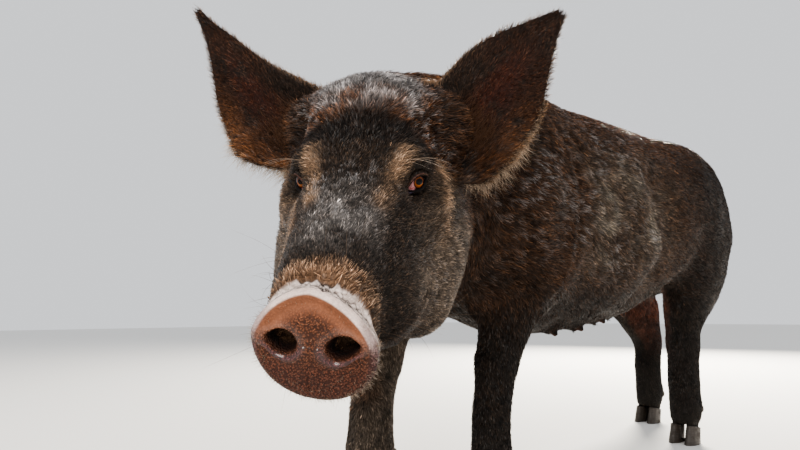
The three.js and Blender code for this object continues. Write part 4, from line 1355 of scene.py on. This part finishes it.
def keep(mesh, name, values):
    """Stores a colour or a number on every point."""
    if values.ndim == 2:
        layer = mesh.attributes.new(name, "FLOAT_COLOR", "POINT")
        opaque = np.column_stack([values, np.ones(len(values))])
        layer.data.foreach_set("color", opaque.astype(np.float32).ravel())
    else:
        layer = mesh.attributes.new(name, "FLOAT", "POINT")
        layer.data.foreach_set("value", values.astype(np.float32))


keep(mesh, "hide_tone", skin_tone)
keep(mesh, "naked", naked)
keep(mesh, "wet", wet)
smooth = naked * fade(local[:, 2], -0.002, 0.012) * fade(disc_reach(local[:, 0], local[:, 2]), 0.45, 0.72)
keep(mesh, "pebbled", naked - smooth * 0.85)

# %% [markdown]
# ## Shader tools
# A material is a tree of nodes, and a tree is hard to read in code. Here shaders are written as sums
# instead: a Value is a socket that takes part in ordinary arithmetic, and a Paint makes a material and
# its nodes.

# %% Shader tools
class Value:
    """A socket of a shader that can be added, multiplied and compared like a number."""

    def __init__(self, paint, socket):
        self.paint, self.socket = paint, socket

    def math(self, operation, *others):
        return self.paint.node("ShaderNodeMath", {"operation": operation}, self, *others)

    def __add__(self, other):
        return self.math("ADD", other)

    def __radd__(self, other):
        return self.math("ADD", other)

    def __sub__(self, other):
        return self.math("SUBTRACT", other)

    def __rsub__(self, other):
        return self.paint.node("ShaderNodeMath", {"operation": "SUBTRACT"}, other, self)

    def __mul__(self, other):
        return self.math("MULTIPLY", other)

    def __rmul__(self, other):
        return self.math("MULTIPLY", other)

    def __truediv__(self, other):
        return self.math("DIVIDE", other)

    def __neg__(self):
        return self.math("MULTIPLY", -1.0)

    def __pow__(self, other):
        return self.math("POWER", other)

    def step(self, start, end):
        """0 before start, 1 after end, with a soft S between. start may be above end."""
        settings = {"interpolation_type": "SMOOTHSTEP"}
        if start < end:
            return self.paint.node("ShaderNodeMapRange", settings, self, start, end, 0.0, 1.0)
        return self.paint.node("ShaderNodeMapRange", settings, self, end, start, 1.0, 0.0)


class Paint:
    """A material with a Principled surface."""

    def __init__(self, name, **constants):
        self.material = bpy.data.materials.new(name)
        self.material.use_nodes = True
        self.tree = self.material.node_tree
        self.surface = self.tree.nodes["Principled BSDF"]
        for socket, value in constants.items():
            self.set(socket.replace("_", " "), value)

    def give(self, socket, value):
        if isinstance(value, Value):
            self.tree.links.new(value.socket, socket)
        else:
            socket.default_value = value

    def set(self, name, value):
        self.give(self.surface.inputs[name], value)

    def node(self, kind, settings=None, *values, output=0, **named):
        made = self.tree.nodes.new(kind)
        for key, setting in (settings or {}).items():
            setattr(made, key, setting)
        for socket, value in zip(made.inputs, values):
            self.give(socket, value)
        for name, value in named.items():
            self.give(made.inputs[name.replace("_", " ")], value)
        return Value(self, made.outputs[output])

    def place(self):
        return self.node("ShaderNodeTexCoord", output="Object")

    def kept(self, name, kind="Fac"):
        return self.node("ShaderNodeAttribute", {"attribute_name": name}, output=kind)

    def mix(self, weight, first, second):
        made = self.tree.nodes.new("ShaderNodeMix")
        made.data_type = "RGBA"
        for socket, value in zip((made.inputs[0], made.inputs[6], made.inputs[7]), (weight, first, second)):
            self.give(socket, value)
        return Value(self, made.outputs[2])

    def tinted(self, colour, factor):
        """A colour times a number."""
        return self.node("ShaderNodeVectorMath", {"operation": "SCALE"}, colour, Scale=factor)

    def noise(self, place, scale, detail=3.0, roughness=0.5, output="Fac"):
        return self.node(
            "ShaderNodeTexNoise", None, output=output,
            Vector=place, Scale=scale, Detail=detail, Roughness=roughness,
        )

    def stretched(self, place, scale):
        return self.node("ShaderNodeMapping", {"vector_type": "POINT"}, Vector=place, Scale=scale)

    def bump(self, height, distance, strength=1.0):
        return self.node("ShaderNodeBump", None, Height=height, Distance=distance, Strength=strength)


# %% [markdown]
# ## Skin, eyes and horn
# Between the bristles the skin is dry and scurfy. The snout is damp and covered with small pebbles, and
# it shines on the lower edges of the nostrils. Horn is dark, streaked along its growth and muddy near the
# ground. Noise and cells in the nodes draw what is finer than the squares of the mesh.

# %% Materials of skin, eyes and horn
def rgb(red, green, blue):
    return (red, green, blue, 1.0)


def hide_paint():
    paint = Paint("hide_paint")
    place = paint.place()
    tone = paint.kept("hide_tone", "Color")
    naked, wet, pebbled = paint.kept("naked"), paint.kept("wet"), paint.kept("pebbled")
    pebbles = paint.node("ShaderNodeTexVoronoi", {"feature": "SMOOTH_F1"}, output="Distance",
                         Vector=place, Scale=540.0, Smoothness=0.35)
    pebble = pebbles.step(0.66, 0.10)
    crack_shade = pebbles.step(0.36, 0.68)
    scurf = paint.noise(place, 420.0, 4.0, 0.6)
    strokes = paint.noise(paint.stretched(place, (1.0, 0.35, 0.5)), 900.0, 2.0)
    fleck = paint.noise(place, 300.0, 3.0, 0.7).step(0.40, 0.62)
    blotch = paint.noise(place, 95.0, 3.0, 0.6)
    shade = (1.0 - naked) * (0.16 + 0.40 * scurf + 0.95 * fleck * strokes) + naked * (0.60 + 0.75 * blotch)
    colour = paint.tinted(tone, shade)
    grain = paint.noise(place, 210.0, 4.0, 0.7)
    # Pebble tops painted lighter as painted highlights, and the cracks between pebbles darker as painted
    # shade.
    lit = paint.tinted(tone, 1.6 + 1.2 * blotch)
    colour = paint.mix(pebbled * pebble * grain.step(0.36, 0.66) * 0.6, colour, lit)
    colour = paint.mix(pebbled * crack_shade * (0.56 + 0.50 * grain), colour, rgb(0.024, 0.009, 0.006))
    paint.set("Base Color", colour)
    paint.set("Roughness", 0.74 - 0.20 * naked - 0.24 * wet + 0.10 * scurf)
    paint.set("Coat Weight", 0.7 * wet + 0.06 * naked)
    paint.set("Coat Roughness", 0.16)
    paint.set("Specular IOR Level", 0.24)
    height = 1.5 * pebbled * pebble + (1.0 - naked) * (0.6 * strokes + 0.5 * scurf) + 0.4 * blotch
    paint.set("Normal", paint.bump(height, 0.0013, 1.0))
    return paint.material


def eye_paint():
    paint = Paint("eye_paint", Roughness=0.04, IOR=1.36, Specular_IOR_Level=0.22)
    sight = paint.node("ShaderNodeSeparateXYZ", None, paint.kept("sight", "Vector"))
    tree = sight.socket.node
    x, y = (Value(paint, tree.outputs[k]) for k in range(2))
    lids = paint.node("ShaderNodeSeparateXYZ", None, paint.kept("lids", "Vector"))
    inward = -Value(paint, lids.socket.node.outputs[0])
    away = (x * x + y * y) ** 0.5
    pupil = (x * x / 19.0 + (y - 1.0) * (y - 1.0) / 12.0) ** 0.5
    flat = paint.node("ShaderNodeCombineXYZ", None, x, y, 0.0)
    spokes = paint.noise(paint.node("ShaderNodeVectorMath", {"operation": "NORMALIZE"}, flat), 9.0, 4.0, 0.7)
    amber = paint.mix(away.step(2.6, 5.6), rgb(0.34, 0.105, 0.018), rgb(0.17, 0.042, 0.009))
    amber = paint.tinted(amber, 0.45 + 1.1 * spokes)
    iris = paint.mix(away.step(5.3, 6.2), amber, rgb(0.010, 0.005, 0.004))
    iris = paint.mix(pupil.step(1.10, 0.92), iris, rgb(0.003, 0.003, 0.004))
    veins = paint.noise(paint.kept("lids", "Vector"), 0.55, 4.0, 0.7).step(0.5, 0.68)
    white = paint.mix(veins, rgb(0.60, 0.29, 0.29), rgb(0.48, 0.045, 0.045))
    white = paint.mix(inward.step(7.4, 4.2), white, rgb(0.020, 0.010, 0.009))
    white = paint.mix(inward.step(10.2, 11.6), white, rgb(0.20, 0.035, 0.040))
    paint.set("Base Color", paint.mix(away.step(6.1, 6.7), iris, white))
    return paint.material


def horn_paint():
    paint = Paint("horn_paint")
    place = paint.place()
    streak = paint.noise(paint.stretched(place, (1.0, 1.0, 0.22)), 260.0, 4.0, 0.6)
    rings = paint.noise(paint.stretched(place, (0.15, 0.15, 1.0)), 420.0, 3.0)
    mud = paint.noise(place, 70.0, 5.0, 0.65).step(0.44, 0.60)
    low = paint.node("ShaderNodeSeparateXYZ", None, place, output="Z").step(0.045, 0.004)
    horn_tone = paint.mix(streak, rgb(0.018, 0.013, 0.010), rgb(0.065, 0.048, 0.036))
    horn_tone = paint.mix(low * 0.5 + mud * 0.45, horn_tone, rgb(0.040, 0.032, 0.025))
    paint.set("Base Color", horn_tone)
    paint.set("Roughness", 0.42 + 0.40 * mud)
    paint.set("Normal", paint.bump(0.5 * rings + 0.35 * streak + 0.5 * mud, 0.0008, 0.7))
    return paint.material


skin.data.materials.append(hide_paint())
for piece in eyeballs:
    piece.data.materials.clear()
    piece.data.materials.append(eye_paint())
horn.data.materials.append(horn_paint())
activate(skin)
bpy.ops.object.shade_smooth()
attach(skin, "root")
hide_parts(*FLESH)

# %% [markdown]
# ## The lie of the coat
# Bristles lie back from the nose over the brow, spread out over the cheeks, run back and down the trunk
# and straight down the legs. Blender's hair curves would be quicker to comb, but they aren't solid mesh.
# So the coat is made by formulas: first one for the way the bristles lie at any place, in which
# neighbours lean alike and form locks.

# %% Lie of the coat
HAIR_COUNT = 480000
rng = np.random.default_rng(20)


def unit(vectors):
    return vectors / np.maximum(np.linalg.norm(vectors, axis=1), 1e-9)[:, None]


def lie_of_coat(points, normals):
    """The way the bristles lie: away from the snout, along the trunk, down the legs, out along the ears."""
    side, forward, up = to_head(points).T
    x, y, z = (points - GROUND).T
    sign = np.sign(side)
    wide = np.abs(side)
    on_head = head_share(points, (-0.19, -0.11), (-0.48, -0.55))
    backward = -1.0 - 2.0 * fade(wide, 0.05, 0.02)
    fan = np.stack([sign * (0.10 + 7.5 * wide), backward, -0.2 - 8 * np.maximum(-0.03 - up, 0)], axis=1)
    from_brow = np.clip(np.exp(-(((wide - 0.057) / 0.022) ** 2) - ((forward + 0.012) / 0.022) ** 2), 0, 1)
    fan[:, 0] += 1.2 * sign * from_brow
    lie_head = fan[:, :1] * HEAD_AXES[:, 0] + fan[:, 1:2] * -HEAD_AXES[:, 1] + fan[:, 2:] * HEAD_AXES[:, 2]
    rump = fade(y, 0.25, 0.45)
    chest = fade(y, -0.44, -0.50) * fade(z, 0.46, 0.38)
    along = (1 - rump) * (1 - chest)
    lie = np.stack([0.12 * np.sign(x), along + 0.2, -0.42 - 0.9 * rump - 0.8 * chest], axis=1)
    leg = fade(z, 0.34, 0.24)
    lie = lie * (1 - leg)[:, None] + np.outer(leg, (0, 0.15, -1))
    lie = unit(lie) * (1 - on_head)[:, None] + unit(lie_head) * on_head[:, None]
    for name, along, v, ear, _ in ear_places(points):
        _, out, lower, _ = ear_axes(name)
        spread = out + np.outer(np.clip(v * 0.75, -0.8, 0.9) * fade(along, 0.20, 0.12), lower)
        lie = lie * (1 - ear)[:, None] + unit(spread) * ear[:, None]
    for _, _, axes, spot in eye_places(points):
        around = peak(np.hypot(spot[:, 0], spot[:, 1]) - 0.012, 0.008) * (np.abs(spot[:, 2] - 0.010) < 0.018)
        lie += 1.6 * around[:, None] * unit(spot[:, :2]) @ axes[:2]
    sway = np.stack([clouds(points, 0.022, seed, 2) - 0.5 for seed in (31, 32, 33)], axis=1)
    lie = unit(lie) + 1.2 * sway + rng.normal(0, 0.17, lie.shape)
    return unit(lie - normals * (lie * normals).sum(1)[:, None])

# %% [markdown]
# ## How dense and how long
# Bristles are shortest on the nose and feet, longer along the ridge of the back, dense on the ears and
# the face and missing on the snout, the lids and the teats.

# %% Measures of the coat
def coat_measures(points, normals):
    """Bristles for each square metre, and their length and width, at places on the skin."""
    head = to_head(points)
    x, y, z = (points - GROUND).T
    side, forward, up = np.abs(head[:, 0]), head[:, 1], head[:, 2]
    on_head = head_share(points, (-0.19, -0.11), (-0.48, -0.55))
    ridge = fade(np.abs(x - 0.10 * fade(y, -0.35, -0.6)), 0.05, 0.0) * fade(normals[:, 2], 0.5, 0.9)
    count = np.full(len(points), 0.215e6)
    length = 0.0130 + 0.006 * ridge
    width = np.full(len(points), 0.00068)
    low = fade(z, 0.36, 0.20)
    count += low * 0.10e6
    length -= low * 0.0055
    width -= low * 0.00014
    foot = fade(z, 0.12, 0.06)
    length -= foot * 0.0025
    teat = np.min([np.hypot(np.abs(x) - TEAT_ASIDE, y - row) for row in TEAT_ROWS], axis=0)
    count *= 1 - fade(teat, 0.013, 0.009) * fade(-normals[:, 2], -0.2, 0.1) * fade(z, 0.36, 0.33)
    count *= fade(z, 0.036, 0.044)
    under = fade(-normals[:, 2], 0.4, 0.8) * (1 - low)
    count *= 1 - 0.45 * under
    face_length = 0.0125 - 0.0060 * fade(forward, -0.09, 0.03) - 0.0015 * fade(forward, 0.04, 0.13)
    face_length += 0.0045 * fade(side, 0.060, 0.095) * fade(forward, 0.02, -0.05)
    face_length += 0.0030 * fade(forward, 0.140, 0.158) * fade(up, -0.06, -0.04)
    count += on_head * (0.52e6 - count)
    length += on_head * (face_length - length)
    width += on_head * (0.00050 - width)
    for _, along, v, ear, hollow in ear_places(points):
        rim = fade(np.abs(v), 0.82, 0.97)
        count += ear * (0.42e6 - 0.14e6 * hollow - count)
        length += ear * (0.0075 - 0.0005 * hollow + 0.0035 * rim + 0.003 * fade(along, 0.05, 0.0) - length)
        width += ear * (0.00045 - width)
    local = to_snout(points)
    naked = fade(local[:, 1], -0.0190, -0.0165) * fade(disc_reach(local[:, 0], local[:, 2]), 1.5, 1.3)
    count *= 1 - naked * fade(local[:, 2], 0.0, 0.014)
    count *= 1 - fade(local[:, 1], -0.016, -0.010) * fade(disc_reach(local[:, 0], local[:, 2]), 1.5, 1.3)
    for _, _, _, spot in eye_places(points):
        close = (spot[:, 2] > -0.01) & (np.linalg.norm(spot, axis=1) < 0.045)
        beyond, _ = beyond_lids(spot[close][:, :2])
        count[close] *= fade(beyond, 0.0014, 0.0032)
        length[close] *= 0.42 + 0.58 * fade(beyond, 0.003, 0.016)
    return count, length, width

# %% [markdown]
# ## Roots of the bristles
# A root is a random place in a random triangle, and a triangle is drawn more often when it is large or
# when the coat is dense there. That spreads the bristles evenly over squares of any size.

# %% Roots
mesh.calc_loop_triangles()
corners = np.empty(3 * len(mesh.loop_triangles), np.int32)
mesh.loop_triangles.foreach_get("vertices", corners)
corners = corners.reshape(-1, 3)
loops = np.empty(3 * len(mesh.loop_triangles), np.int32)
mesh.loop_triangles.foreach_get("loops", loops)
loops = loops.reshape(-1, 3)
unwrap = np.empty(2 * len(mesh.loops), np.float32)
mesh.uv_layers["OFBake"].data.foreach_get("uv", unwrap)
unwrap = unwrap.reshape(-1, 2)
points = points_of(mesh)
normals = normals_of(mesh)
a, b, c = (points[corners[:, k]] for k in range(3))
areas = np.linalg.norm(np.cross(b - a, c - a), axis=1) / 2
middles = (a + b + c) / 3
facing_way = unit(normals[corners].mean(1))
count, _, _ = coat_measures(middles, facing_way)
share = areas * count
print("bristles the coat asks for:", int(share.sum()))
share /= share.sum()
chosen = rng.choice(len(areas), HAIR_COUNT, p=share)
weights = rng.random((HAIR_COUNT, 2))
over = weights.sum(1) > 1
weights[over] = 1 - weights[over]
weights = np.column_stack([1 - weights.sum(1), weights])
roots = (points[corners[chosen]] * weights[:, :, None]).sum(1)
root_normals = unit((normals[corners[chosen]] * weights[:, :, None]).sum(1))
root_unwrap = (unwrap[loops[chosen]] * weights[:, :, None]).sum(1)

# %% [markdown]
# ## Blades
# Each bristle is a thin bent blade of three triangles, rooted in the skin, darker at its root and
# coloured at its tip. A round hair would need many more triangles and look no different from a step away.
# The blades are turned at random about their length, so that some always face the light.

# %% Blades
def bristle_paint():
    paint = Paint("bristle_paint", Roughness=0.34, IOR=1.5, Specular_IOR_Level=0.20)
    paint.set("Base Color", paint.kept("coat_tone", "Color"))
    return paint.material


bristles = bristle_paint()


def coat_mesh(name, where, faces, shades, spots):
    """A piece of the coat from points, triangles, and a colour and a place on the unwrap for each point."""
    made = bpy.data.meshes.new(name)
    made.vertices.add(len(where))
    made.vertices.foreach_set("co", where.astype(np.float32).ravel())
    made.loops.add(3 * len(faces))
    made.loops.foreach_set("vertex_index", faces.astype(np.int32).ravel())
    made.polygons.add(len(faces))
    made.polygons.foreach_set("loop_start", np.arange(0, 3 * len(faces), 3, dtype=np.int32))
    made.update(calc_edges=True)
    keep(made, "coat_tone", shades)
    layer = made.uv_layers.new(name="OFBake")
    layer.data.foreach_set("uv", spots[faces.ravel()].astype(np.float32).ravel())
    made.materials.append(bristles)
    piece = bpy.data.objects.new(name, made)
    bpy.context.scene.collection.objects.link(piece)
    activate(piece)
    bpy.ops.object.shade_smooth()
    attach(piece, "root")
    return piece


def blades(name, roots, normals, lie, length, width, lift, colours, tips, unwrap, bend=0.0):
    """One mesh of bent blades: two points at the root, two half way and one at the tip."""
    n = len(roots)
    roll = rng.uniform(-1.1, 1.1, n)
    across = np.cross(lie, normals)
    flat = across * np.cos(roll)[:, None] + normals * np.sin(roll)[:, None]
    curve = across * (rng.normal(0, 1, n) * (0.07 + bend))[:, None]
    low = roots - normals * 0.0004
    half = roots + (lie * 0.52 + normals * (lift * 0.72)[:, None] + curve * 0.4) * length[:, None]
    rise = normals * lift[:, None]
    tip = roots + (lie * (0.98 - 0.3 * lift)[:, None] + rise + curve * 1.4) * length[:, None]
    spread = flat * (width / 2)[:, None]
    corners = [low - spread * 0.7, low + spread * 0.7, half + spread, half - spread, tip]
    where = np.stack(corners, axis=1).reshape(-1, 3)
    base = 5 * np.arange(n)[:, None]
    faces = (base[:, :, None] + np.array([[0, 1, 2], [0, 2, 3], [3, 2, 4]])[None]).reshape(-1, 3)
    shades = np.stack([colours * 0.55, colours * 0.55, colours, colours, tips], axis=1).reshape(-1, 3)
    patch = np.array([[-1, -1], [1, -1], [1, 0.4], [-1, 0.4], [0, 1]]) * 0.0015
    places = (unwrap[:, None] + patch[None]).reshape(-1, 2)
    return coat_mesh(name, where, faces, shades, places)


lie = lie_of_coat(roots, root_normals)
_, length, width = coat_measures(roots, root_normals)
length = length * rng.uniform(0.65, 1.25, HAIR_COUNT)
width = width * rng.uniform(0.7, 1.3, HAIR_COUNT)
lift = 0.05 + 0.20 * rng.random(HAIR_COUNT) ** 3 + 0.10 * clouds(roots, 0.04, 41, 2)
coat_tone, tip_tone = markings(roots, root_normals)
tone = np.exp(rng.normal(-0.05, 0.55, HAIR_COUNT)) * (0.45 + 1.1 * clouds(roots, 0.005, 42, 1))
painted_glint, pit = grit(roots)
pale = rng.random(HAIR_COUNT) < 0.05
coat_tone = coat_tone * (tone * (1 - 0.72 * pit))[:, None]
tip_tone = tip_tone * (tone * (1 - 0.80 * pit))[:, None]
# The light flecks are painted glints: coat and tips mixed toward pale grey.
coat_tone += (np.array((0.20, 0.185, 0.18)) - coat_tone) * (0.8 * painted_glint)[:, None]
tip_tone += (np.array((0.70, 0.67, 0.66)) - tip_tone) * (0.9 * painted_glint)[:, None]
tip_tone[pale] = tip_tone[pale] * 0.5 + np.array((0.42, 0.35, 0.28)) * 0.5
order = np.argsort(roots[:, 1] + rng.uniform(-0.002, 0.002, HAIR_COUNT))
parts = np.array_split(order, max(1, math.ceil(HAIR_COUNT / 65000)))
for i, part in enumerate(parts):
    piece = blades(
        f"coat_{i + 1}", roots[part], root_normals[part], lie[part], length[part], width[part], lift[part],
        coat_tone[part], tip_tone[part], root_unwrap[part],
    )
print("coat:", HAIR_COUNT, "bristles in", len(parts), "pieces")

# %% [markdown]
# ## Single hairs
# Whiskers, lashes and the hair of the tail stand out one by one against the light, where a flat blade
# would vanish from the side. So each is a thin rod with three sides that bends steadily along its way and
# narrows to its tip.

# %% Tools for single hairs
corner_places = np.zeros((len(points), 2))
corner_places[corners.ravel()] = unwrap[loops.ravel()]


def strands(roots, ways, length, width, curl, colours, tips, places, rings=6):
    """Points, faces, colours and unwrap of long hairs with three sides, bending steadily along their way."""
    n = len(roots)
    side = unit(np.cross(ways, rng.normal(0, 1, (n, 3))))
    other = unit(np.cross(ways, side))
    where, shades, faces = [], [], []
    for ring in range(rings):
        t = ring / rings
        centre = roots + (ways * t + curl * t * t) * length[:, None]
        for angle in (0, 2.1, 4.2):
            spread = side * math.cos(angle) + other * math.sin(angle)
            where.append(centre + spread * (width * (1 - 0.75 * t) / 2)[:, None])
            shades.append(colours + (tips - colours) * t)
    where.append(roots + (ways + curl) * length[:, None])
    shades.append(tips)
    size = 3 * rings + 1
    for ring in range(rings):
        for k in range(3):
            a, b = 3 * ring + k, 3 * ring + (k + 1) % 3
            if ring < rings - 1:
                faces += [(a, b, b + 3), (a, b + 3, a + 3)]
            else:
                faces.append((a, b, size - 1))
    where = np.stack(where, axis=1).reshape(-1, 3)
    shades = np.stack(shades, axis=1).reshape(-1, 3)
    faces = (size * np.arange(n)[:, None, None] + np.array(faces)[None]).reshape(-1, 3)
    spots = np.repeat(places, size, axis=0) + rng.uniform(-0.0015, 0.0015, (n * size, 2))
    return where, faces, shades, spots


def hair_piece(name, sets):
    """One mesh from several sets of hairs."""
    where, faces, shades, spots = [], [], [], []
    base = 0
    for a, b, c, d in sets:
        where.append(a)
        faces.append(b + base)
        shades.append(c)
        spots.append(d)
        base += len(a)
    piece = coat_mesh(name, *(np.concatenate(part) for part in (where, faces, shades, spots)))
    return piece


def on_skin(head_places):
    """The points of the skin nearest to places given in the head's axes."""
    spots = np.array([from_head(*place) for place in head_places])
    return np.array([np.argmin(((points - spot) ** 2).sum(1)) for spot in spots])


def scatter(mask, number):
    """Random points of the skin, more of them where the mask is higher."""
    return rng.choice(len(points), number, p=mask / mask.sum())


def stray(spread, number):
    """Random pushes in every direction."""
    return rng.normal(0, spread, (number, 3))


def tuft(index, ways, length, thickness, curl, colour, tip, rings=6):
    """Hairs rooted at chosen points of the skin."""
    n = len(index)
    shade = np.exp(rng.normal(0, 0.25, n))[:, None]
    length = np.asarray(length) * np.ones(n)
    return strands(
        points[index] - normals[index] * 0.0004, unit(ways), length, thickness * rng.uniform(0.8, 1.2, n),
        curl, np.array(colour) * shade, np.array(tip) * shade, corner_places[index], rings,
    )


def grow(mask, number, way_of, straying, lengths, thickness, curling, colour, tip, rings=6):
    """Hairs scattered over a mask. way_of gives the way they point from the numbers of their roots."""
    index = scatter(mask * area_weight, number)
    ways = way_of(index) + stray(straying, number)
    length = rng.uniform(*lengths, number)
    return tuft(index, ways, length, thickness, stray(curling, number), colour, tip, rings)

# %% [markdown]
# ## Whiskers, lashes and tail
# A few long hairs stand above each eye, more grow on the muzzle and the chin, short lashes sit on the
# upper lids, and a brush of long dark hair ends the tail.

# %% Whiskers
head = to_head(points)
local = to_snout(points)
area_weight = np.bincount(corners.ravel(), np.repeat(areas, 3), len(points))
sets = []
PALE, TAN, DARK = (0.50, 0.43, 0.36), (0.26, 0.17, 0.11), (0.050, 0.030, 0.020)
BROW_HAIRS, MUZZLE_HAIRS, CHIN_HAIRS, TAIL_HAIRS = 5, 110, 70, 260
for sign in (1, -1):
    places = [(sign * (0.046 + 0.005 * k), 0.006 - 0.004 * k, 0.026 - 0.001 * k) for k in range(BROW_HAIRS)]
    way = np.array([along_head(sign * 1.0, 0.35, 0.30 + 0.05 * k) for k in range(BROW_HAIRS)])
    curl = np.tile(along_head(0.15 * sign, 0.05, -0.45), (BROW_HAIRS, 1))
    sets.append(tuft(on_skin(places), way, rng.uniform(0.032, 0.046, BROW_HAIRS), 0.00042, curl, TAN, PALE))
on_jaw = (head[:, 1] > 0.02) & (points[:, 2] > 0.18)
muzzle = on_jaw & (local[:, 1] < -0.028) & (head[:, 2] < 0.0) & (points[:, 1] < GROUND[1] - 0.45)
index = scatter(muzzle * area_weight * fade(head[:, 1], 0.0, 0.12), MUZZLE_HAIRS)
way = normals[index] * 0.8 - along_head(0, 0.35, 0) + stray(0.3, MUZZLE_HAIRS)
curl = stray(0.30, MUZZLE_HAIRS) - (0, 0, 0.15)
sets.append(tuft(index, way, rng.uniform(0.012, 0.042, MUZZLE_HAIRS), 0.00036, curl, DARK, TAN))
chin = on_jaw & (head[:, 2] < -0.085) & (local[:, 1] < -0.03) & (np.abs(head[:, 0]) < 0.05)
sets.append(grow(
    chin, CHIN_HAIRS, lambda index: normals[index] + along_head(0, -0.2, -0.3), 0.25,
    (0.012, 0.034), 0.00036, 0.2, DARK, TAN,
))
for name in EYE_SIGNS:
    ball, axes = eye_axes(name)
    outline, *_, square = lid_outline()
    lashes = outline[12:78:2] + square * 0.0014
    spots = [ball + axes[:2].T @ flat + axes[2] * 0.0135 for flat in lashes]
    index = np.array([np.argmin(((points - spot) ** 2).sum(1)) for spot in spots])
    way = axes[2] * 0.9 + axes[1] * 0.35 + np.outer(lashes[:, 0] / 0.012, axes[0]) * 0.6
    way += stray(0.12, len(index))
    length = rng.uniform(0.005, 0.009, len(index))
    curl = np.tile(-0.25 * axes[1], (len(index), 1))
    sets.append(tuft(index, way, length, 0.0003, curl, DARK, (0.12, 0.08, 0.055), 4))
tail_low, tail_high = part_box("tail")
on_tail = (points[:, 1] > max(tail_low[1], tail_high[1] - 0.035)) & (np.abs(points[:, 0] - GROUND[0]) < 0.05)
on_tail &= (points[:, 2] > tail_low[2] - 0.01) & (points[:, 2] < tail_low[2] + 0.075)
sets.append(grow(
    on_tail, TAIL_HAIRS, lambda index: np.array((0, 0.25, -1.0)) + normals[index] * 0.25, 0.12,
    (0.020, 0.048), 0.0005, 0.12, DARK, (0.12, 0.06, 0.035),
))
whiskers = hair_piece("whiskers", sets)

# %% [markdown]
# ## Fringes
# Short stiff hairs ring the snout and dot its disc. A fringe of finer, paler hair hangs from the edges of
# the ears and grows out of their roots. They break up edges that would otherwise look cut from paper.

# %% Fringes
RIM_HAIRS, DISC_HAIRS, LOBE_HAIRS, EDGE_HAIRS, INNER_HAIRS = 620, 300, 1300, 900, 700


def out_of_rim(index):
    """The way from the middle of the disc out over its rim."""
    away = unit(np.stack([local[index, 0], 0 * index, local[index, 2]], axis=1))
    return (from_snout(local[index] + away) - from_snout(local[index])) + 0.45 * normals[index]


reach = disc_reach(local[:, 0], local[:, 2])
on_rim = (reach > 0.90) & (reach < 1.12) & (local[:, 1] > -0.014) & (local[:, 1] < 0.004)
on_rim = on_rim * fade(local[:, 2] - 0.35 * np.abs(local[:, 0]), 0.016, -0.004)
nostrils = np.min([nostril_reach(local, side) for side in (1, -1)], axis=0)
on_disc = (reach < 0.95) & (local[:, 1] > -0.006) & (nostrils > 1.2)
sets = [
    grow(on_rim, RIM_HAIRS, out_of_rim, 0.25, (0.0025, 0.0062), 0.00026, 0.2, TAN, (0.62, 0.52, 0.42), 2),
    grow(
        on_disc, DISC_HAIRS, lambda index: normals[index], 0.45,
        (0.0015, 0.0036), 0.00022, 0.2, TAN, (0.45, 0.35, 0.27), 2,
    ),
]
for name, along, v, ear, hollow in ear_places(points):
    _, out, lower, facing = ear_axes(name)
    index = scatter(ear * fade(v, 0.84, 0.98) * area_weight * (0.4 + fade(along, 0.12, 0.02)), LOBE_HAIRS)
    lobe = fade(along[index], 0.12, 0.01)
    lock = clouds(points[index], 0.009, 61, 1) - 0.5
    way = np.outer(0.5 + 0.5 * lobe, lower) + np.outer(0.55 - 0.45 * lobe + 1.5 * lock, out)
    way += np.outer(rng.normal(0, 0.4, LOBE_HAIRS), facing)
    way += stray(0.30, LOBE_HAIRS) - np.outer(0.5 * lobe, (0, 0, 1))
    length = rng.uniform(0.003, 0.008, LOBE_HAIRS)
    length += (0.010 + 0.020 * (lock + 0.5)) * lobe * rng.random(LOBE_HAIRS) ** 1.5
    curl = stray(0.25, LOBE_HAIRS)
    sets.append(tuft(index, way, length, 0.00034, curl, (0.060, 0.034, 0.021), (0.74, 0.56, 0.40), 3))
    sets.append(grow(
        ear * fade(v, -0.80, -0.96), EDGE_HAIRS, lambda index: out * 0.8 - lower * 0.5, 0.2,
        (0.004, 0.010), 0.00034, 0.15, (0.06, 0.032, 0.02), (0.45, 0.26, 0.14), 3,
    ))
    sets.append(grow(
        hollow * fade(along, 0.065, 0.015) * fade(v, 0.6, 0.2), INNER_HAIRS,
        lambda index: out * 0.7 + facing * 0.5, 0.25,
        (0.010, 0.024), 0.0004, 0.2, DARK, (0.16, 0.080, 0.045), 4,
    ))
fringes = hair_piece("fringes", sets)
print("single hairs:", sum(len(piece.data.polygons) for piece in (whiskers, fringes)), "faces")
